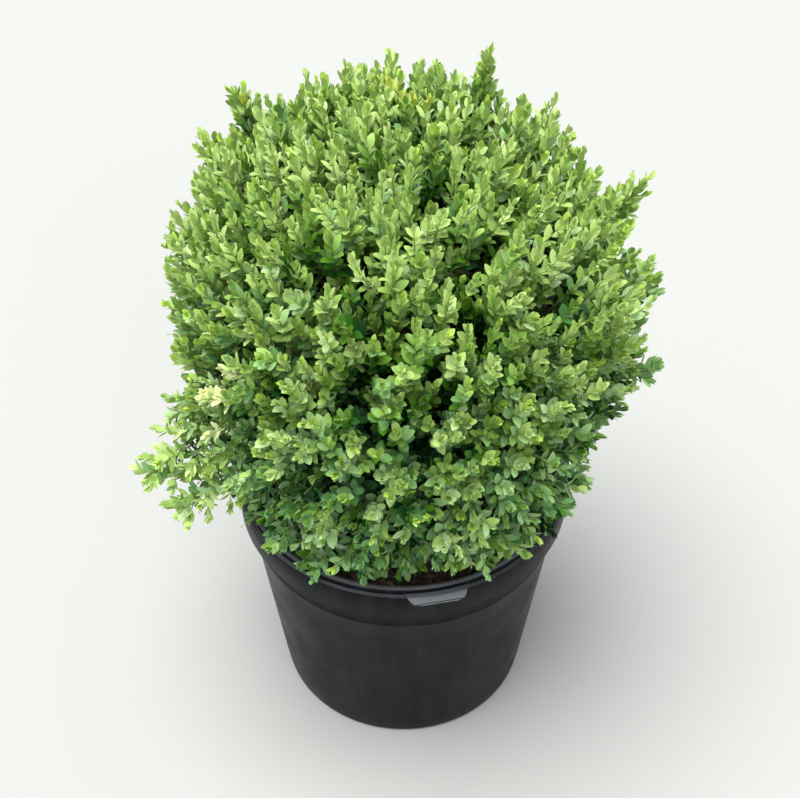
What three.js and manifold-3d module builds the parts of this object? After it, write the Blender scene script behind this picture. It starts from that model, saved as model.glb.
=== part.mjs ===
// A loosely clipped box ball in its black plastic nursery pot.
// Millimetres, +Z up. The origin is the middle of the pot's flat underside, and the front is towards -Y.
// The plant is a trunk, five side boughs and six masses of foliage round an airy middle. In each mass
// twigs branch from one stem to leafy sprigs, which stand out of a dense clipped core.

import * as THREE from 'three';
import { mergeVertices } from 'three/addons/utils/BufferGeometryUtils.js';
import Module from 'manifold-3d';

const wasm = await Module();
wasm.setup();

// Driving dimensions

const pot = {
  height: 300,
  rimRadius: 178,
  baseRadius: 140,
  wall: 2.8,
  lipHeight: 6.5,
  ledgeWidth: 5.5,
  bandHeight: 33,
  bandStep: 7,
  beadBelowBand: 27,
  beadRadius: 1.1,
  footBevel: 4,
  sides: 40,
};

// Two flat grips widen the ledge, opposite each other. The first is at this angle from the right,
// anticlockwise from above.
const grips = {
  count: 2,
  firstAngle: -80,
  lengthAtRim: 68,
  lengthAtShoulder: 54,
  lengthAtEdge: 42,
  shoulderStandsOut: 6.5,
  standsOut: 10,
  thickness: 3.2,
  aboveLedge: 0.4,
  insideRim: 9.5,
};

const soil = {
  belowRim: 19,
  mound: 4,
  gap: 0.3,
};

const crown = {
  radius: 232,
  halfHeight: 237,
  centreHeight: 503,
  squareness: 2.8,
  unevenness: 0.022,
  coreShare: 0.79,
  coreShareBelow: 0.87,
  clumpDepth: 0.04,
  seam: 0.6,
};

// The airy middle's outline, from below: radius and height from the crown's centre.
const pocket = {
  belowCrown: 1.3,
  outline: [[44, -178], [62, -150], [90, -112], [114, -66], [120, -22], [100, 36], [52, 84]],
  top: 90,
  sides: 20,
};

const trunk = {
  baseRadius: 17,
  flareRadius: 26,
  flareHeight: 26,
  tipRadius: 6,
  topHeight: 576,
  lean: 7,
  gap: 0.3,
};

const boughs = {
  count: 5,
  firstHeight: 322,
  heightStep: 13,
  baseRadius: 8.5,
  tipRadius: 5,
  reach: 92,
  tipHeight: 462,
  gap: 0.3,
  massStemLength: 46,
  massCentreSine: -0.12,
};

const sprigs = {
  count: 150,
  lowestSine: -0.95,
  length: 84,
  rise: 0.45,
  baseRadius: 3.4,
  twigRadius: 4.4,
  unevenReach: 0.07,
  unevenTurn: 0.12,
  borderMargin: 4.6,
  seed: 2711,
};

const leaves = {
  length: 50,
  width: 31,
  thickness: 2.2,
  rootDepth: 0.5,
  widestAt: 0.14,
  unevenSize: 0.16,
  // How far each pair sits from its sprig's tip, how wide it opens and its size. A pair grows only
  // where its sprig is clear of the core.
  pairs: [
    { fromTip: 62, opening: 62, size: 1 },
    { fromTip: 37, opening: 57, size: 1 },
    { fromTip: 19, opening: 34, size: 0.84 },
  ],
  spacing: 3,
  aboveSoil: 3,
  aboveRim: 6,
};

// Long shoots break the outline. Each is given by its angle round the outline as seen from the
// front at the outline's tilt, anticlockwise from the right, by how far it stands out of the crown
// and by how upright it grows.
const outlineTilt = 40;
const longShoots = [
  { angle: 69, standsOut: 16, rise: 2.4 },
  { angle: 27, standsOut: 34, rise: 0.8 },
  { angle: 8, standsOut: 14, rise: 0.4 },
  { angle: -12, standsOut: 12, rise: 0.2 },
  { angle: 124, standsOut: 22, rise: 1 },
  { angle: 138, standsOut: 14, rise: 1.1 },
  { angle: 161, standsOut: 12, rise: 0.5 },
  { angle: 201, standsOut: 18, rise: 0 },
  { angle: 209, standsOut: 66, rise: -0.25 },
  { angle: 219, standsOut: 52, rise: -0.2 },
];

// Dents in the outline: the same angle, the depth as a share of the crown's reach, and the width.
const dents = [
  { angle: 50, depth: 0.1, width: 0.26 },
];

const looks = {
  potPlastic: { color: 0x1b1d1e, roughness: 0.42, metalness: 0 },
  pottingMix: { color: 0x4a3626, roughness: 0.95, metalness: 0 },
  bark: { color: 0x7c6a50, roughness: 0.9, metalness: 0 },
  foliageTop: { color: 0x8fb83a, roughness: 0.5, metalness: 0 },
  foliageSide: { color: 0x4f7f33, roughness: 0.5, metalness: 0 },
};

const up = new THREE.Vector3(0, 0, 1);
const radians = THREE.MathUtils.degToRad;

// Small helpers

function seededRandom(seed) {
  let state = seed;
  return () => {
    state = (state * 16807) % 2147483647;
    return state / 2147483647;
  };
}

// A closed geometry as a solid: corners shared, faces with no area left out.
function solidFrom(geometry) {
  const bare = new THREE.BufferGeometry();
  bare.setAttribute('position', geometry.getAttribute('position'));
  bare.setIndex(geometry.getIndex());
  const merged = mergeVertices(bare, 1e-4);
  const corners = merged.getIndex().array;
  const kept = [];
  for (let i = 0; i < corners.length; i += 3) {
    const [a, b, c] = [corners[i], corners[i + 1], corners[i + 2]];
    if (a !== b && b !== c && c !== a) {
      kept.push(a, b, c);
    }
  }
  return new wasm.Manifold(new wasm.Mesh({
    numProp: 3,
    vertProperties: new Float32Array(merged.getAttribute('position').array),
    triVerts: new Uint32Array(kept),
  }));
}

function geometryFrom(solid) {
  const mesh = solid.getMesh();
  const geometry = new THREE.BufferGeometry();
  geometry.setAttribute('position', new THREE.BufferAttribute(mesh.vertProperties, 3));
  geometry.setIndex(new THREE.BufferAttribute(mesh.triVerts, 1));
  return geometry;
}

function join(solids) {
  return solids.reduce((whole, next) => whole.add(next));
}

// Loose scraps are dropped and sealed hollows filled: only the outer skin of the largest body stays.
function largestBody(solid) {
  const bodies = solid.decompose();
  return bodies.reduce((best, next) => (next.volume() > best.volume() ? next : best));
}

function namedMesh(name, geometry, look) {
  const mesh = new THREE.Mesh(geometry, new THREE.MeshStandardMaterial(looks[look]));
  mesh.name = name;
  return mesh;
}

function lathed(points, sides) {
  const profile = points.map(([radius, height]) => new THREE.Vector2(radius, height));
  const geometry = new THREE.LatheGeometry(profile, sides);
  geometry.rotateX(Math.PI / 2);
  return geometry;
}

// A round limb that tapers along a curve. Its ends are square to the curve.
function taperedLimb(curve, radiusAt, sides, steps) {
  const geometry = new THREE.CylinderGeometry(1, 1, 1, sides, steps);
  const frames = curve.computeFrenetFrames(steps, false);
  const position = geometry.getAttribute('position');
  const corner = new THREE.Vector3();
  for (let i = 0; i < position.count; i += 1) {
    corner.fromBufferAttribute(position, i);
    const along = corner.y + 0.5;
    const step = Math.round(along * steps);
    const radius = radiusAt(along);
    const place = curve.getPointAt(along);
    place.addScaledVector(frames.normals[step], -corner.x * radius);
    place.addScaledVector(frames.binormals[step], corner.z * radius);
    position.setXYZ(i, place.x, place.y, place.z);
  }
  return geometry;
}

// Pot: a thin tapering wall, a wider band round the top, and a lip that stands on the band's ledge

function potOuterRadius(height) {
  const bandFoot = pot.height - pot.lipHeight - pot.bandHeight;
  const wallTop = pot.rimRadius - pot.bandStep - 1.5;
  return pot.baseRadius + (wallTop - pot.baseRadius) * (height / bandFoot);
}

function potInnerRadius(height) {
  const ledge = pot.height - pot.lipHeight;
  return potOuterRadius(Math.min(height, ledge - pot.bandHeight)) - pot.wall;
}

function potGeometry() {
  const ledge = pot.height - pot.lipHeight;
  const bandFoot = ledge - pot.bandHeight;
  const beadHeight = bandFoot - pot.beadBelowBand;
  const bandRadius = pot.rimRadius - 0.6;
  const lipOuter = pot.rimRadius - pot.ledgeWidth;
  const lipInner = potInnerRadius(ledge);
  return lathed([
    [0, 0],
    [pot.baseRadius - pot.footBevel, 0],
    [pot.baseRadius, pot.footBevel],
    [potOuterRadius(beadHeight - 3), beadHeight - 3],
    [potOuterRadius(beadHeight) + pot.beadRadius, beadHeight],
    [potOuterRadius(beadHeight + 3), beadHeight + 3],
    [potOuterRadius(bandFoot - 1), bandFoot - 1],
    [bandRadius - 1.6, bandFoot],
    [bandRadius, bandFoot + 2],
    [pot.rimRadius, ledge - 3],
    [pot.rimRadius - 1.6, ledge],
    [lipOuter + 0.4, ledge + 0.4],
    [lipOuter, pot.height - 1],
    [(lipOuter + lipInner) / 2, pot.height],
    [lipInner, pot.height - 1],
    [lipInner, bandFoot],
    [potInnerRadius(pot.wall), pot.wall],
    [0, pot.wall],
  ], pot.sides);
}

function gripSolid(number) {
  const outer = pot.rimRadius + grips.standsOut;
  const shoulder = pot.rimRadius + grips.shoulderStandsOut;
  const inner = pot.rimRadius - grips.insideRim;
  const plate = new THREE.Shape([
    new THREE.Vector2(inner, -grips.lengthAtRim / 2),
    new THREE.Vector2(shoulder, -grips.lengthAtShoulder / 2),
    new THREE.Vector2(outer, -grips.lengthAtEdge / 2),
    new THREE.Vector2(outer, grips.lengthAtEdge / 2),
    new THREE.Vector2(shoulder, grips.lengthAtShoulder / 2),
    new THREE.Vector2(inner, grips.lengthAtRim / 2),
  ]);
  const geometry = new THREE.ExtrudeGeometry(plate, { depth: grips.thickness, bevelEnabled: false });
  geometry.translate(0, 0, pot.height - pot.lipHeight + grips.aboveLedge - grips.thickness);
  geometry.rotateZ(radians(grips.firstAngle) + (number / grips.count) * Math.PI * 2);
  return solidFrom(geometry);
}

function potSolid() {
  const solids = [solidFrom(potGeometry())];
  for (let number = 0; number < grips.count; number += 1) {
    solids.push(gripSolid(number));
  }
  return join(solids);
}

// Potting mix: fills the pot to a little below the rim, slightly higher round the trunk

const soilTop = pot.height - soil.belowRim + soil.mound;

function soilGeometry() {
  const { gap } = soil;
  const edge = pot.height - soil.belowRim;
  const bandFoot = pot.height - pot.lipHeight - pot.bandHeight;
  const floor = pot.wall + gap;
  return lathed([
    [0, floor],
    [potInnerRadius(floor) - 2 * gap, floor],
    [potInnerRadius(bandFoot) - 2 * gap, bandFoot],
    [potInnerRadius(edge) - 2 * gap, edge],
    [potInnerRadius(edge) * 0.82, edge + soil.mound * 0.5],
    [trunk.flareRadius * 1.6, soilTop],
    [0, soilTop],
  ], pot.sides);
}

// Crown shape, measured from the crown's centre

function outlineDirection(angle) {
  const tilt = radians(outlineTilt);
  const upwards = new THREE.Vector3(0, Math.sin(tilt), Math.cos(tilt));
  const sideways = new THREE.Vector3(1, 0, 0);
  return sideways.multiplyScalar(Math.cos(radians(angle)))
    .addScaledVector(upwards, Math.sin(radians(angle)));
}

function dentDepth(direction) {
  return dents.reduce((depth, dent) => {
    const away = direction.distanceTo(outlineDirection(dent.angle)) / dent.width;
    return depth + dent.depth * Math.exp(-away * away);
  }, 0);
}

function crownReach(direction) {
  const across = Math.hypot(direction.x, direction.y) / crown.radius;
  const upright = Math.abs(direction.z) / crown.halfHeight;
  const even = (across ** crown.squareness + upright ** crown.squareness) ** (-1 / crown.squareness);
  const turn = Math.atan2(direction.y, direction.x);
  const swell = Math.sin(3 * turn + 0.7) * Math.cos(2 * direction.z)
    + Math.sin(5 * turn + 4 * direction.z + 2.1);
  return even * (1 + crown.unevenness * swell - dentDepth(direction));
}

function crownPoint(direction, share) {
  return direction.clone().multiplyScalar(crownReach(direction) * share);
}

function shareOfCrown(point) {
  return point.length() / crownReach(point.clone().normalize());
}

// The airy middle, which the trunk and boughs stand in. It is open below, round the trunk.
function pocketGeometry() {
  const foot = -crown.halfHeight * pocket.belowCrown;
  const footRadius = pocket.outline[0][0];
  return lathed([[0, foot], [footRadius, foot], ...pocket.outline, [0, pocket.top]], pocket.sides);
}

// The dense inner foliage: smaller than the crown, in clumps with hollows between them. Low down
// it fills more of the crown, where the foliage hangs to the potting mix.
function coreShareAt(direction) {
  const { x, y, z } = direction;
  const clumps = Math.sin(9 * x + 1) * Math.sin(9 * y + 2.4)
    + Math.sin(8 * z + 0.4) * Math.sin(10 * (x - y));
  const low = THREE.MathUtils.smoothstep(-z, 0.5, 0.85);
  const share = THREE.MathUtils.lerp(crown.coreShare, crown.coreShareBelow, low);
  return share + crown.clumpDepth * clumps * (1 - 0.7 * low);
}

function clearOfCore(point) {
  return shareOfCrown(point) > coreShareAt(point.clone().normalize()) + 0.02;
}

function coreGeometry() {
  const geometry = new THREE.IcosahedronGeometry(1, 5);
  const position = geometry.getAttribute('position');
  const corner = new THREE.Vector3();
  for (let i = 0; i < position.count; i += 1) {
    corner.fromBufferAttribute(position, i).normalize();
    const place = crownPoint(corner, coreShareAt(corner));
    position.setXYZ(i, place.x, place.y, place.z);
  }
  return geometry;
}

// Trunk and boughs, in the crown's frame

const groundLine = soilTop + trunk.gap - crown.centreHeight;
const trunkTop = trunk.topHeight - crown.centreHeight;

const trunkCurve = new THREE.CatmullRomCurve3([
  new THREE.Vector3(0, 0, groundLine),
  new THREE.Vector3(0, 0, groundLine + 30),
  new THREE.Vector3(trunk.lean, -trunk.lean * 0.6, groundLine + 120),
  new THREE.Vector3(-trunk.lean * 0.5, trunk.lean * 0.4, groundLine + 215),
  new THREE.Vector3(0, 0, trunkTop),
]);

function compassTurn(number) {
  return ((number + 0.5) / boughs.count) * Math.PI * 2 - Math.PI / 2;
}

function trunkRadius(along) {
  const height = along * (trunkTop - groundLine);
  const taper = THREE.MathUtils.lerp(trunk.baseRadius, trunk.tipRadius, along ** 0.85);
  const flare = Math.max(0, 1 - height / trunk.flareHeight);
  return taper + (trunk.flareRadius - trunk.baseRadius) * flare * flare;
}

// The trunk, or a slightly fatter one that what starts from it is cut by. Its foot is cut level.
function trunkLimb(extra) {
  const geometry = taperedLimb(trunkCurve, (along) => trunkRadius(along) + extra, 8, 12);
  const position = geometry.getAttribute('position');
  for (let i = 0; i < position.count; i += 1) {
    if (position.getZ(i) < groundLine + 2) {
      position.setZ(i, groundLine);
    }
  }
  return geometry;
}

function boughCurve(number) {
  const turn = compassTurn(number);
  const outward = new THREE.Vector3(Math.cos(turn), Math.sin(turn), 0);
  const startHeight = boughs.firstHeight + boughs.heightStep * number - crown.centreHeight;
  const along = (startHeight - groundLine) / (trunkTop - groundLine);
  const start = trunkCurve.getPointAt(along);
  const tip = outward.clone().multiplyScalar(boughs.reach);
  tip.z = boughs.tipHeight - crown.centreHeight;
  const bend = start.clone().addScaledVector(outward, boughs.reach * 0.5);
  bend.z = THREE.MathUtils.lerp(start.z, tip.z, 0.35);
  return new THREE.QuadraticBezierCurve3(start, bend, tip);
}

function boughSolid(number, fatTrunk) {
  const radiusAt = (along) => THREE.MathUtils.lerp(boughs.baseRadius, boughs.tipRadius, along);
  const limb = solidFrom(taperedLimb(boughCurve(number), radiusAt, 6, 6));
  return largestBody(limb.subtract(fatTrunk));
}

// The stem of a foliage mass goes on from its bough's tip, or the trunk's, into the mass's core.
function massStemLine(mass) {
  const limb = mass === 0 ? trunkCurve : boughCurve(mass - 1);
  const end = limb.getPointAt(1);
  const heading = limb.getTangentAt(1);
  const start = end.clone().addScaledVector(heading, boughs.gap);
  const inside = end.clone().addScaledVector(heading, boughs.massStemLength);
  return new THREE.LineCurve3(start, inside);
}

function massStem(mass) {
  const radius = mass === 0 ? trunk.tipRadius : boughs.tipRadius;
  const radiusAt = (along) => THREE.MathUtils.lerp(radius, sprigs.twigRadius, along);
  return solidFrom(taperedLimb(massStemLine(mass), radiusAt, 6, 1));
}

// Foliage masses: one on the trunk's tip and one on each bough

function massCentres() {
  const centres = [up.clone()];
  for (let number = 0; number < boughs.count; number += 1) {
    const turn = compassTurn(number);
    const centre = new THREE.Vector3(Math.cos(turn), Math.sin(turn), boughs.massCentreSine);
    centres.push(centre.normalize());
  }
  return centres;
}

const centres = massCentres();

function massOf(point) {
  const scores = centres.map((centre) => centre.dot(point));
  return scores.indexOf(Math.max(...scores));
}

// How far a point lies inside its mass's share of the crown, from the nearest of the flat borders.
function borderDistance(point, mass) {
  const distances = centres
    .filter((centre, other) => other !== mass)
    .map((centre) => {
      const across = centres[mass].clone().sub(centre).normalize();
      return across.dot(point);
    });
  return Math.min(...distances);
}

function massWedge(solid, mass) {
  const size = crown.radius * 8;
  let wedge = solid;
  centres.forEach((centre, other) => {
    if (other === mass) {
      return;
    }
    const across = centre.clone().sub(centres[mass]).normalize();
    const block = new THREE.BoxGeometry(size, size, size);
    block.translate(0, 0, size / 2 - crown.seam / 2);
    block.applyQuaternion(new THREE.Quaternion().setFromUnitVectors(up, across));
    wedge = wedge.subtract(solidFrom(block));
  });
  return wedge;
}

// Sprigs: leafy shoots spread evenly over the crown, growing outwards and bending upwards

function sprigFrom(direction, reachShare, rise, standsOut) {
  const heading = direction.clone().addScaledVector(up, rise).normalize();
  const tip = crownPoint(direction, reachShare).addScaledVector(heading, standsOut);
  const root = tip.clone().addScaledVector(heading, -sprigs.length - standsOut);
  return { heading, tip, root };
}

// A sprig keeps clear of the flat borders between the cores, so it turns towards its mass's centre
// until it does.
function settledSprig(direction, reachShare, rise, standsOut) {
  let aim = direction.clone();
  for (let turn = 0; turn < 40; turn += 1) {
    const sprig = sprigFrom(aim, reachShare, rise, standsOut);
    const mass = massOf(sprig.root.clone().lerp(sprig.tip, 0.4));
    const insideCore = [0, 0.4, 0.8].map((along) => sprig.root.clone().lerp(sprig.tip, along));
    const margin = Math.min(...insideCore.map((point) => borderDistance(point, mass)));
    if (margin > sprigs.borderMargin) {
      return { ...sprig, mass };
    }
    aim = aim.clone().lerp(centres[mass], 0.02).normalize();
  }
  return null;
}

function layOutSprigs() {
  const random = seededRandom(sprigs.seed);
  const goldenTurn = Math.PI * (3 - Math.sqrt(5));
  const plans = [];
  for (let i = 0; i < sprigs.count; i += 1) {
    const sine = 1 - ((i + 0.5) / sprigs.count) * (1 - sprigs.lowestSine);
    const turn = i * goldenTurn + (random() - 0.5) * sprigs.unevenTurn;
    const flat = Math.sqrt(1 - sine * sine);
    plans.push({
      direction: new THREE.Vector3(Math.cos(turn) * flat, Math.sin(turn) * flat, sine),
      reachShare: 1 - sprigs.unevenReach * random(),
      rise: sprigs.rise * THREE.MathUtils.smoothstep(sine, -1, 0.1),
      standsOut: 0,
    });
  }
  longShoots.forEach((shoot) => {
    const direction = outlineDirection(shoot.angle);
    const near = (plan) => plan.direction.angleTo(direction);
    const nearest = plans.reduce((best, plan) => (near(plan) < near(best) ? plan : best));
    Object.assign(nearest, { direction, reachShare: 1, rise: shoot.rise, standsOut: shoot.standsOut });
  });
  return plans
    .map((plan) => settledSprig(plan.direction, plan.reachShare, plan.rise, plan.standsOut))
    .filter((sprig) => sprig !== null);
}

const allSprigs = layOutSprigs();

// Space that each mass keeps to: nearer to its own sprigs than to those of any other mass

function distanceToSprig(point, sprig) {
  const line = new THREE.Line3(sprig.root, sprig.tip);
  return line.closestPointToPoint(point, true, new THREE.Vector3()).distanceTo(point);
}

function keepsItsSpace(points, mass) {
  return points.every((point) => {
    let own = Infinity;
    let other = Infinity;
    allSprigs.forEach((sprig) => {
      const distance = distanceToSprig(point, sprig);
      if (sprig.mass === mass) {
        own = Math.min(own, distance);
      } else {
        other = Math.min(other, distance);
      }
    });
    const onNeighbour = massOf(point) !== mass && !clearOfCore(point);
    return other - own > leaves.spacing && !onNeighbour;
  });
}

function clearOfPot(points) {
  return points.every((point) => {
    const height = point.z + crown.centreHeight;
    const radius = Math.hypot(point.x, point.y);
    const overSoil = radius < potInnerRadius(pot.height) - 8;
    return overSoil ? height > soilTop + leaves.aboveSoil : height > pot.height + leaves.aboveRim;
  });
}

// One leaf: a thin blade, widest past its middle, that starts inside its sprig
function leafAt(place, heading, facing, size, rootDepth) {
  const sideways = new THREE.Vector3().crossVectors(facing, heading).normalize();
  const upper = new THREE.Vector3().crossVectors(heading, sideways).normalize();
  const half = (leaves.length * size + rootDepth) / 2;
  const cornerAt = (x, y, z) => {
    const forward = (x + 1 + (x === 0 ? leaves.widestAt : 0)) * half - rootDepth;
    const corner = place.clone().addScaledVector(heading, forward);
    corner.addScaledVector(sideways, y * leaves.width * size * 0.5);
    return corner.addScaledVector(upper, z * leaves.thickness * 0.5);
  };
  const blade = new THREE.OctahedronGeometry(1);
  const position = blade.getAttribute('position');
  for (let i = 0; i < position.count; i += 1) {
    const corner = cornerAt(position.getX(i), position.getY(i), position.getZ(i));
    position.setXYZ(i, corner.x, corner.y, corner.z);
  }
  const [left, tip, right] = [cornerAt(0, 1, 0), cornerAt(1, 0, 0), cornerAt(0, -1, 0)];
  const reach = [0.3, 0.65, 1].flatMap((along) => [
    place.clone().lerp(left, along),
    place.clone().lerp(tip, along),
    place.clone().lerp(right, along),
    left.clone().lerp(tip, along),
    right.clone().lerp(tip, along),
  ]);
  return { blade, reach };
}

function sprigRadius(along) {
  return sprigs.baseRadius * (1 - along);
}

// Leaves stand in opposite pairs, each pair a quarter turn round from the one below it.
function sprigLeaves(sprig, random) {
  const line = new THREE.LineCurve3(sprig.root, sprig.tip);
  const across = line.computeFrenetFrames(1, false).normals[0];
  const firstRoll = random() * Math.PI;
  const made = [];
  leaves.pairs.forEach((pair, level) => {
    const along = 1 - pair.fromTip / line.getLength();
    const place = line.getPointAt(along);
    if (!clearOfCore(place)) {
      return;
    }
    const opening = radians(pair.opening);
    for (let half = 0; half < 2; half += 1) {
      const roll = firstRoll + (level / 2 + half) * Math.PI;
      const side = across.clone().applyAxisAngle(sprig.heading, roll);
      const heading = sprig.heading.clone().multiplyScalar(Math.cos(opening));
      heading.addScaledVector(side, Math.sin(opening));
      const size = pair.size * (1 + leaves.unevenSize * (random() - 0.5));
      const rootDepth = sprigRadius(along) * leaves.rootDepth;
      const leaf = leafAt(place, heading, sprig.heading, size, rootDepth);
      if (keepsItsSpace(leaf.reach, sprig.mass) && clearOfPot(leaf.reach)) {
        made.push(solidFrom(leaf.blade));
      }
    }
  });
  return made;
}

// A three-sided twig from one point to another
function twigSolid(from, to, radiusAt) {
  return solidFrom(taperedLimb(new THREE.LineCurve3(from, to), radiusAt, 3, 1));
}

// A mass grows from its stem's inner end: a twig to each sprig's root, the sprig, then its leaves.
function massSolid(mass, coreSolid, pocketSolid) {
  const random = seededRandom(sprigs.seed + mass + 1);
  const fork = massStemLine(mass).getPointAt(1);
  const twigRadius = (along) => THREE.MathUtils.lerp(sprigs.twigRadius, sprigs.baseRadius, along);
  const grown = [];
  allSprigs.filter((sprig) => sprig.mass === mass).forEach((sprig) => {
    if (clearOfPot([sprig.tip])) {
      grown.push(twigSolid(fork, sprig.root, twigRadius));
      grown.push(twigSolid(sprig.root, sprig.tip, sprigRadius));
      grown.push(...sprigLeaves(sprig, random));
    }
  });
  const leafy = join([massWedge(coreSolid, mass), ...grown]).subtract(pocketSolid);
  return largestBody(leafy.add(massStem(mass)));
}

// Assembly

const plantInPot = new THREE.Group();
plantInPot.add(namedMesh('pot', geometryFrom(potSolid()), 'potPlastic'));
plantInPot.add(namedMesh('potting_mix', soilGeometry(), 'pottingMix'));

const plant = new THREE.Group();
plant.position.z = crown.centreHeight;
plantInPot.add(plant);

plant.add(namedMesh('trunk', trunkLimb(0), 'bark'));
const fatTrunk = solidFrom(trunkLimb(trunk.gap));
for (let number = 0; number < boughs.count; number += 1) {
  plant.add(namedMesh(`bough_${number + 1}`, geometryFrom(boughSolid(number, fatTrunk)), 'bark'));
}

const coreSolid = solidFrom(coreGeometry());
const pocketSolid = solidFrom(pocketGeometry());
centres.forEach((centre, mass) => {
  const onTrunk = mass === 0;
  const name = onTrunk ? 'foliage_top' : `foliage_side_${mass}`;
  const geometry = geometryFrom(massSolid(mass, coreSolid, pocketSolid));
  plant.add(namedMesh(name, geometry, onTrunk ? 'foliageTop' : 'foliageSide'));
});

export default plantInPot;
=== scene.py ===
# A loosely clipped box ball in its black plastic nursery pot.
# Metres, +Z up, the pot's underside on the floor and the front towards -Y.
# The crown grows by the frame's own rule: limbs, one stem for each mass, sprays, and then finer
# leafy shoots along every spray.
import math

import bmesh
import bpy
import numpy as np
from mathutils import Matrix, Vector, noise


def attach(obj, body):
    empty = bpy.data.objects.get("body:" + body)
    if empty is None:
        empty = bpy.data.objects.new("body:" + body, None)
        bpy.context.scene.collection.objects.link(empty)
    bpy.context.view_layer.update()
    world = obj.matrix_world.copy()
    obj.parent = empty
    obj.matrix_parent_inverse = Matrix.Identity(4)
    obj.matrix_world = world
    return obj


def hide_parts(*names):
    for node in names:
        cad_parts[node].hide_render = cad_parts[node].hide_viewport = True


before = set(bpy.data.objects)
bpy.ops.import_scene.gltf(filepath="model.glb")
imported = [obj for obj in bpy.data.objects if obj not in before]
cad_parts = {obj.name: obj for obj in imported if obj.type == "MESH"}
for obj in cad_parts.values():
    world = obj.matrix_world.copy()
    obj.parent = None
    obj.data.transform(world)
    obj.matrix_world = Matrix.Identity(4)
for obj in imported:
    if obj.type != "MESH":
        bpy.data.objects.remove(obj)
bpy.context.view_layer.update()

up = np.array([0.0, 0.0, 1.0])

foliageNodes = ["foliage_top"] + [f"foliage_side_{number}" for number in range(1, 6)]
limbNodes = ["trunk"] + [f"bough_{number}" for number in range(1, 6)]


# Small helpers

def unit(vectors):
    return vectors / np.linalg.norm(vectors, axis=-1, keepdims=True)


def smoothStep(value, low, high):
    share = np.clip((value - low) / (high - low), 0, 1)
    return share * share * (3 - 2 * share)


def blend(low, high, share):
    return low + (high - low) * share


def eased(value, where, ends):
    # goes smoothly from one of the ends to the other while value crosses where
    return blend(*ends, smoothStep(value, *where))


def drawn(random, shape, least, spread):
    return least + spread * random.random(shape)


def aroundOne(random, shape, spread):
    return 1 + spread * (random.random(shape) - 0.5)


def screenColour(code):
    # a colour as it looks on a screen, in the shader's linear numbers
    parts = [int(code[place:place + 2], 16) / 255 for place in (0, 2, 4)]
    linear = [part / 12.92 if part < 0.04 else ((part + 0.055) / 1.055) ** 2.4 for part in parts]
    return (*linear, 1)


def finishPiece(piece, material, nodes):
    piece.data.materials.append(material)
    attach(piece, "root")
    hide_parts(*nodes)


def newPiece(mesh, smooth):
    mesh.polygons.foreach_set("use_smooth", np.full(len(mesh.polygons), smooth))
    mesh.update()
    piece = bpy.data.objects.new(mesh.name, mesh)
    bpy.context.scene.collection.objects.link(piece)
    return piece


def pieceFromArrays(name, corners, triangles, smooth=True):
    # many small like shapes, joined into one mesh
    mesh = bpy.data.meshes.new(name)
    mesh.vertices.add(len(corners))
    mesh.vertices.foreach_set("co", corners.astype(np.float32).ravel())
    mesh.loops.add(triangles.size)
    mesh.loops.foreach_set("vertex_index", triangles.astype(np.int32).ravel())
    mesh.polygons.add(len(triangles))
    mesh.polygons.foreach_set("loop_start", np.arange(0, triangles.size, 3, dtype=np.int32))
    mesh.update(calc_edges=True)
    return newPiece(mesh, smooth)


def pieceFromBmesh(name, bm, smooth=True):
    mesh = bpy.data.meshes.new(name)
    bm.to_mesh(mesh)
    bm.free()
    return newPiece(mesh, smooth)


def repeated(corners, pattern):
    # the corners and triangles of many like shapes. corners: shape, corner, place
    first = np.arange(len(corners)) * corners.shape[1]
    return corners.reshape(-1, 3), (pattern[None] + first[:, None, None]).reshape(-1, 3)


def joinMeshes(*meshes):
    corners, triangles = zip(*meshes)
    firsts = np.cumsum([0] + [len(places) for places in corners[:-1]])
    shifted = [rows + first for rows, first in zip(triangles, firsts)]
    return np.concatenate(corners), np.concatenate(shifted)


def spunBody(profile, steps):
    # a closed body from its half outline, turned round the upright axis
    bm = bmesh.new()
    corners = [bm.verts.new((radius, 0, height)) for radius, height in profile]
    edges = [bm.edges.new(pair) for pair in zip(corners, corners[1:])]
    bmesh.ops.spin(bm, geom=corners + edges, cent=(0, 0, 0), axis=(0, 0, 1), angle=2 * math.pi,
                   steps=steps, use_merge=True)
    bmesh.ops.remove_doubles(bm, verts=bm.verts, dist=1e-5)
    bmesh.ops.recalc_face_normals(bm, faces=bm.faces)
    return bm


# Materials

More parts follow.
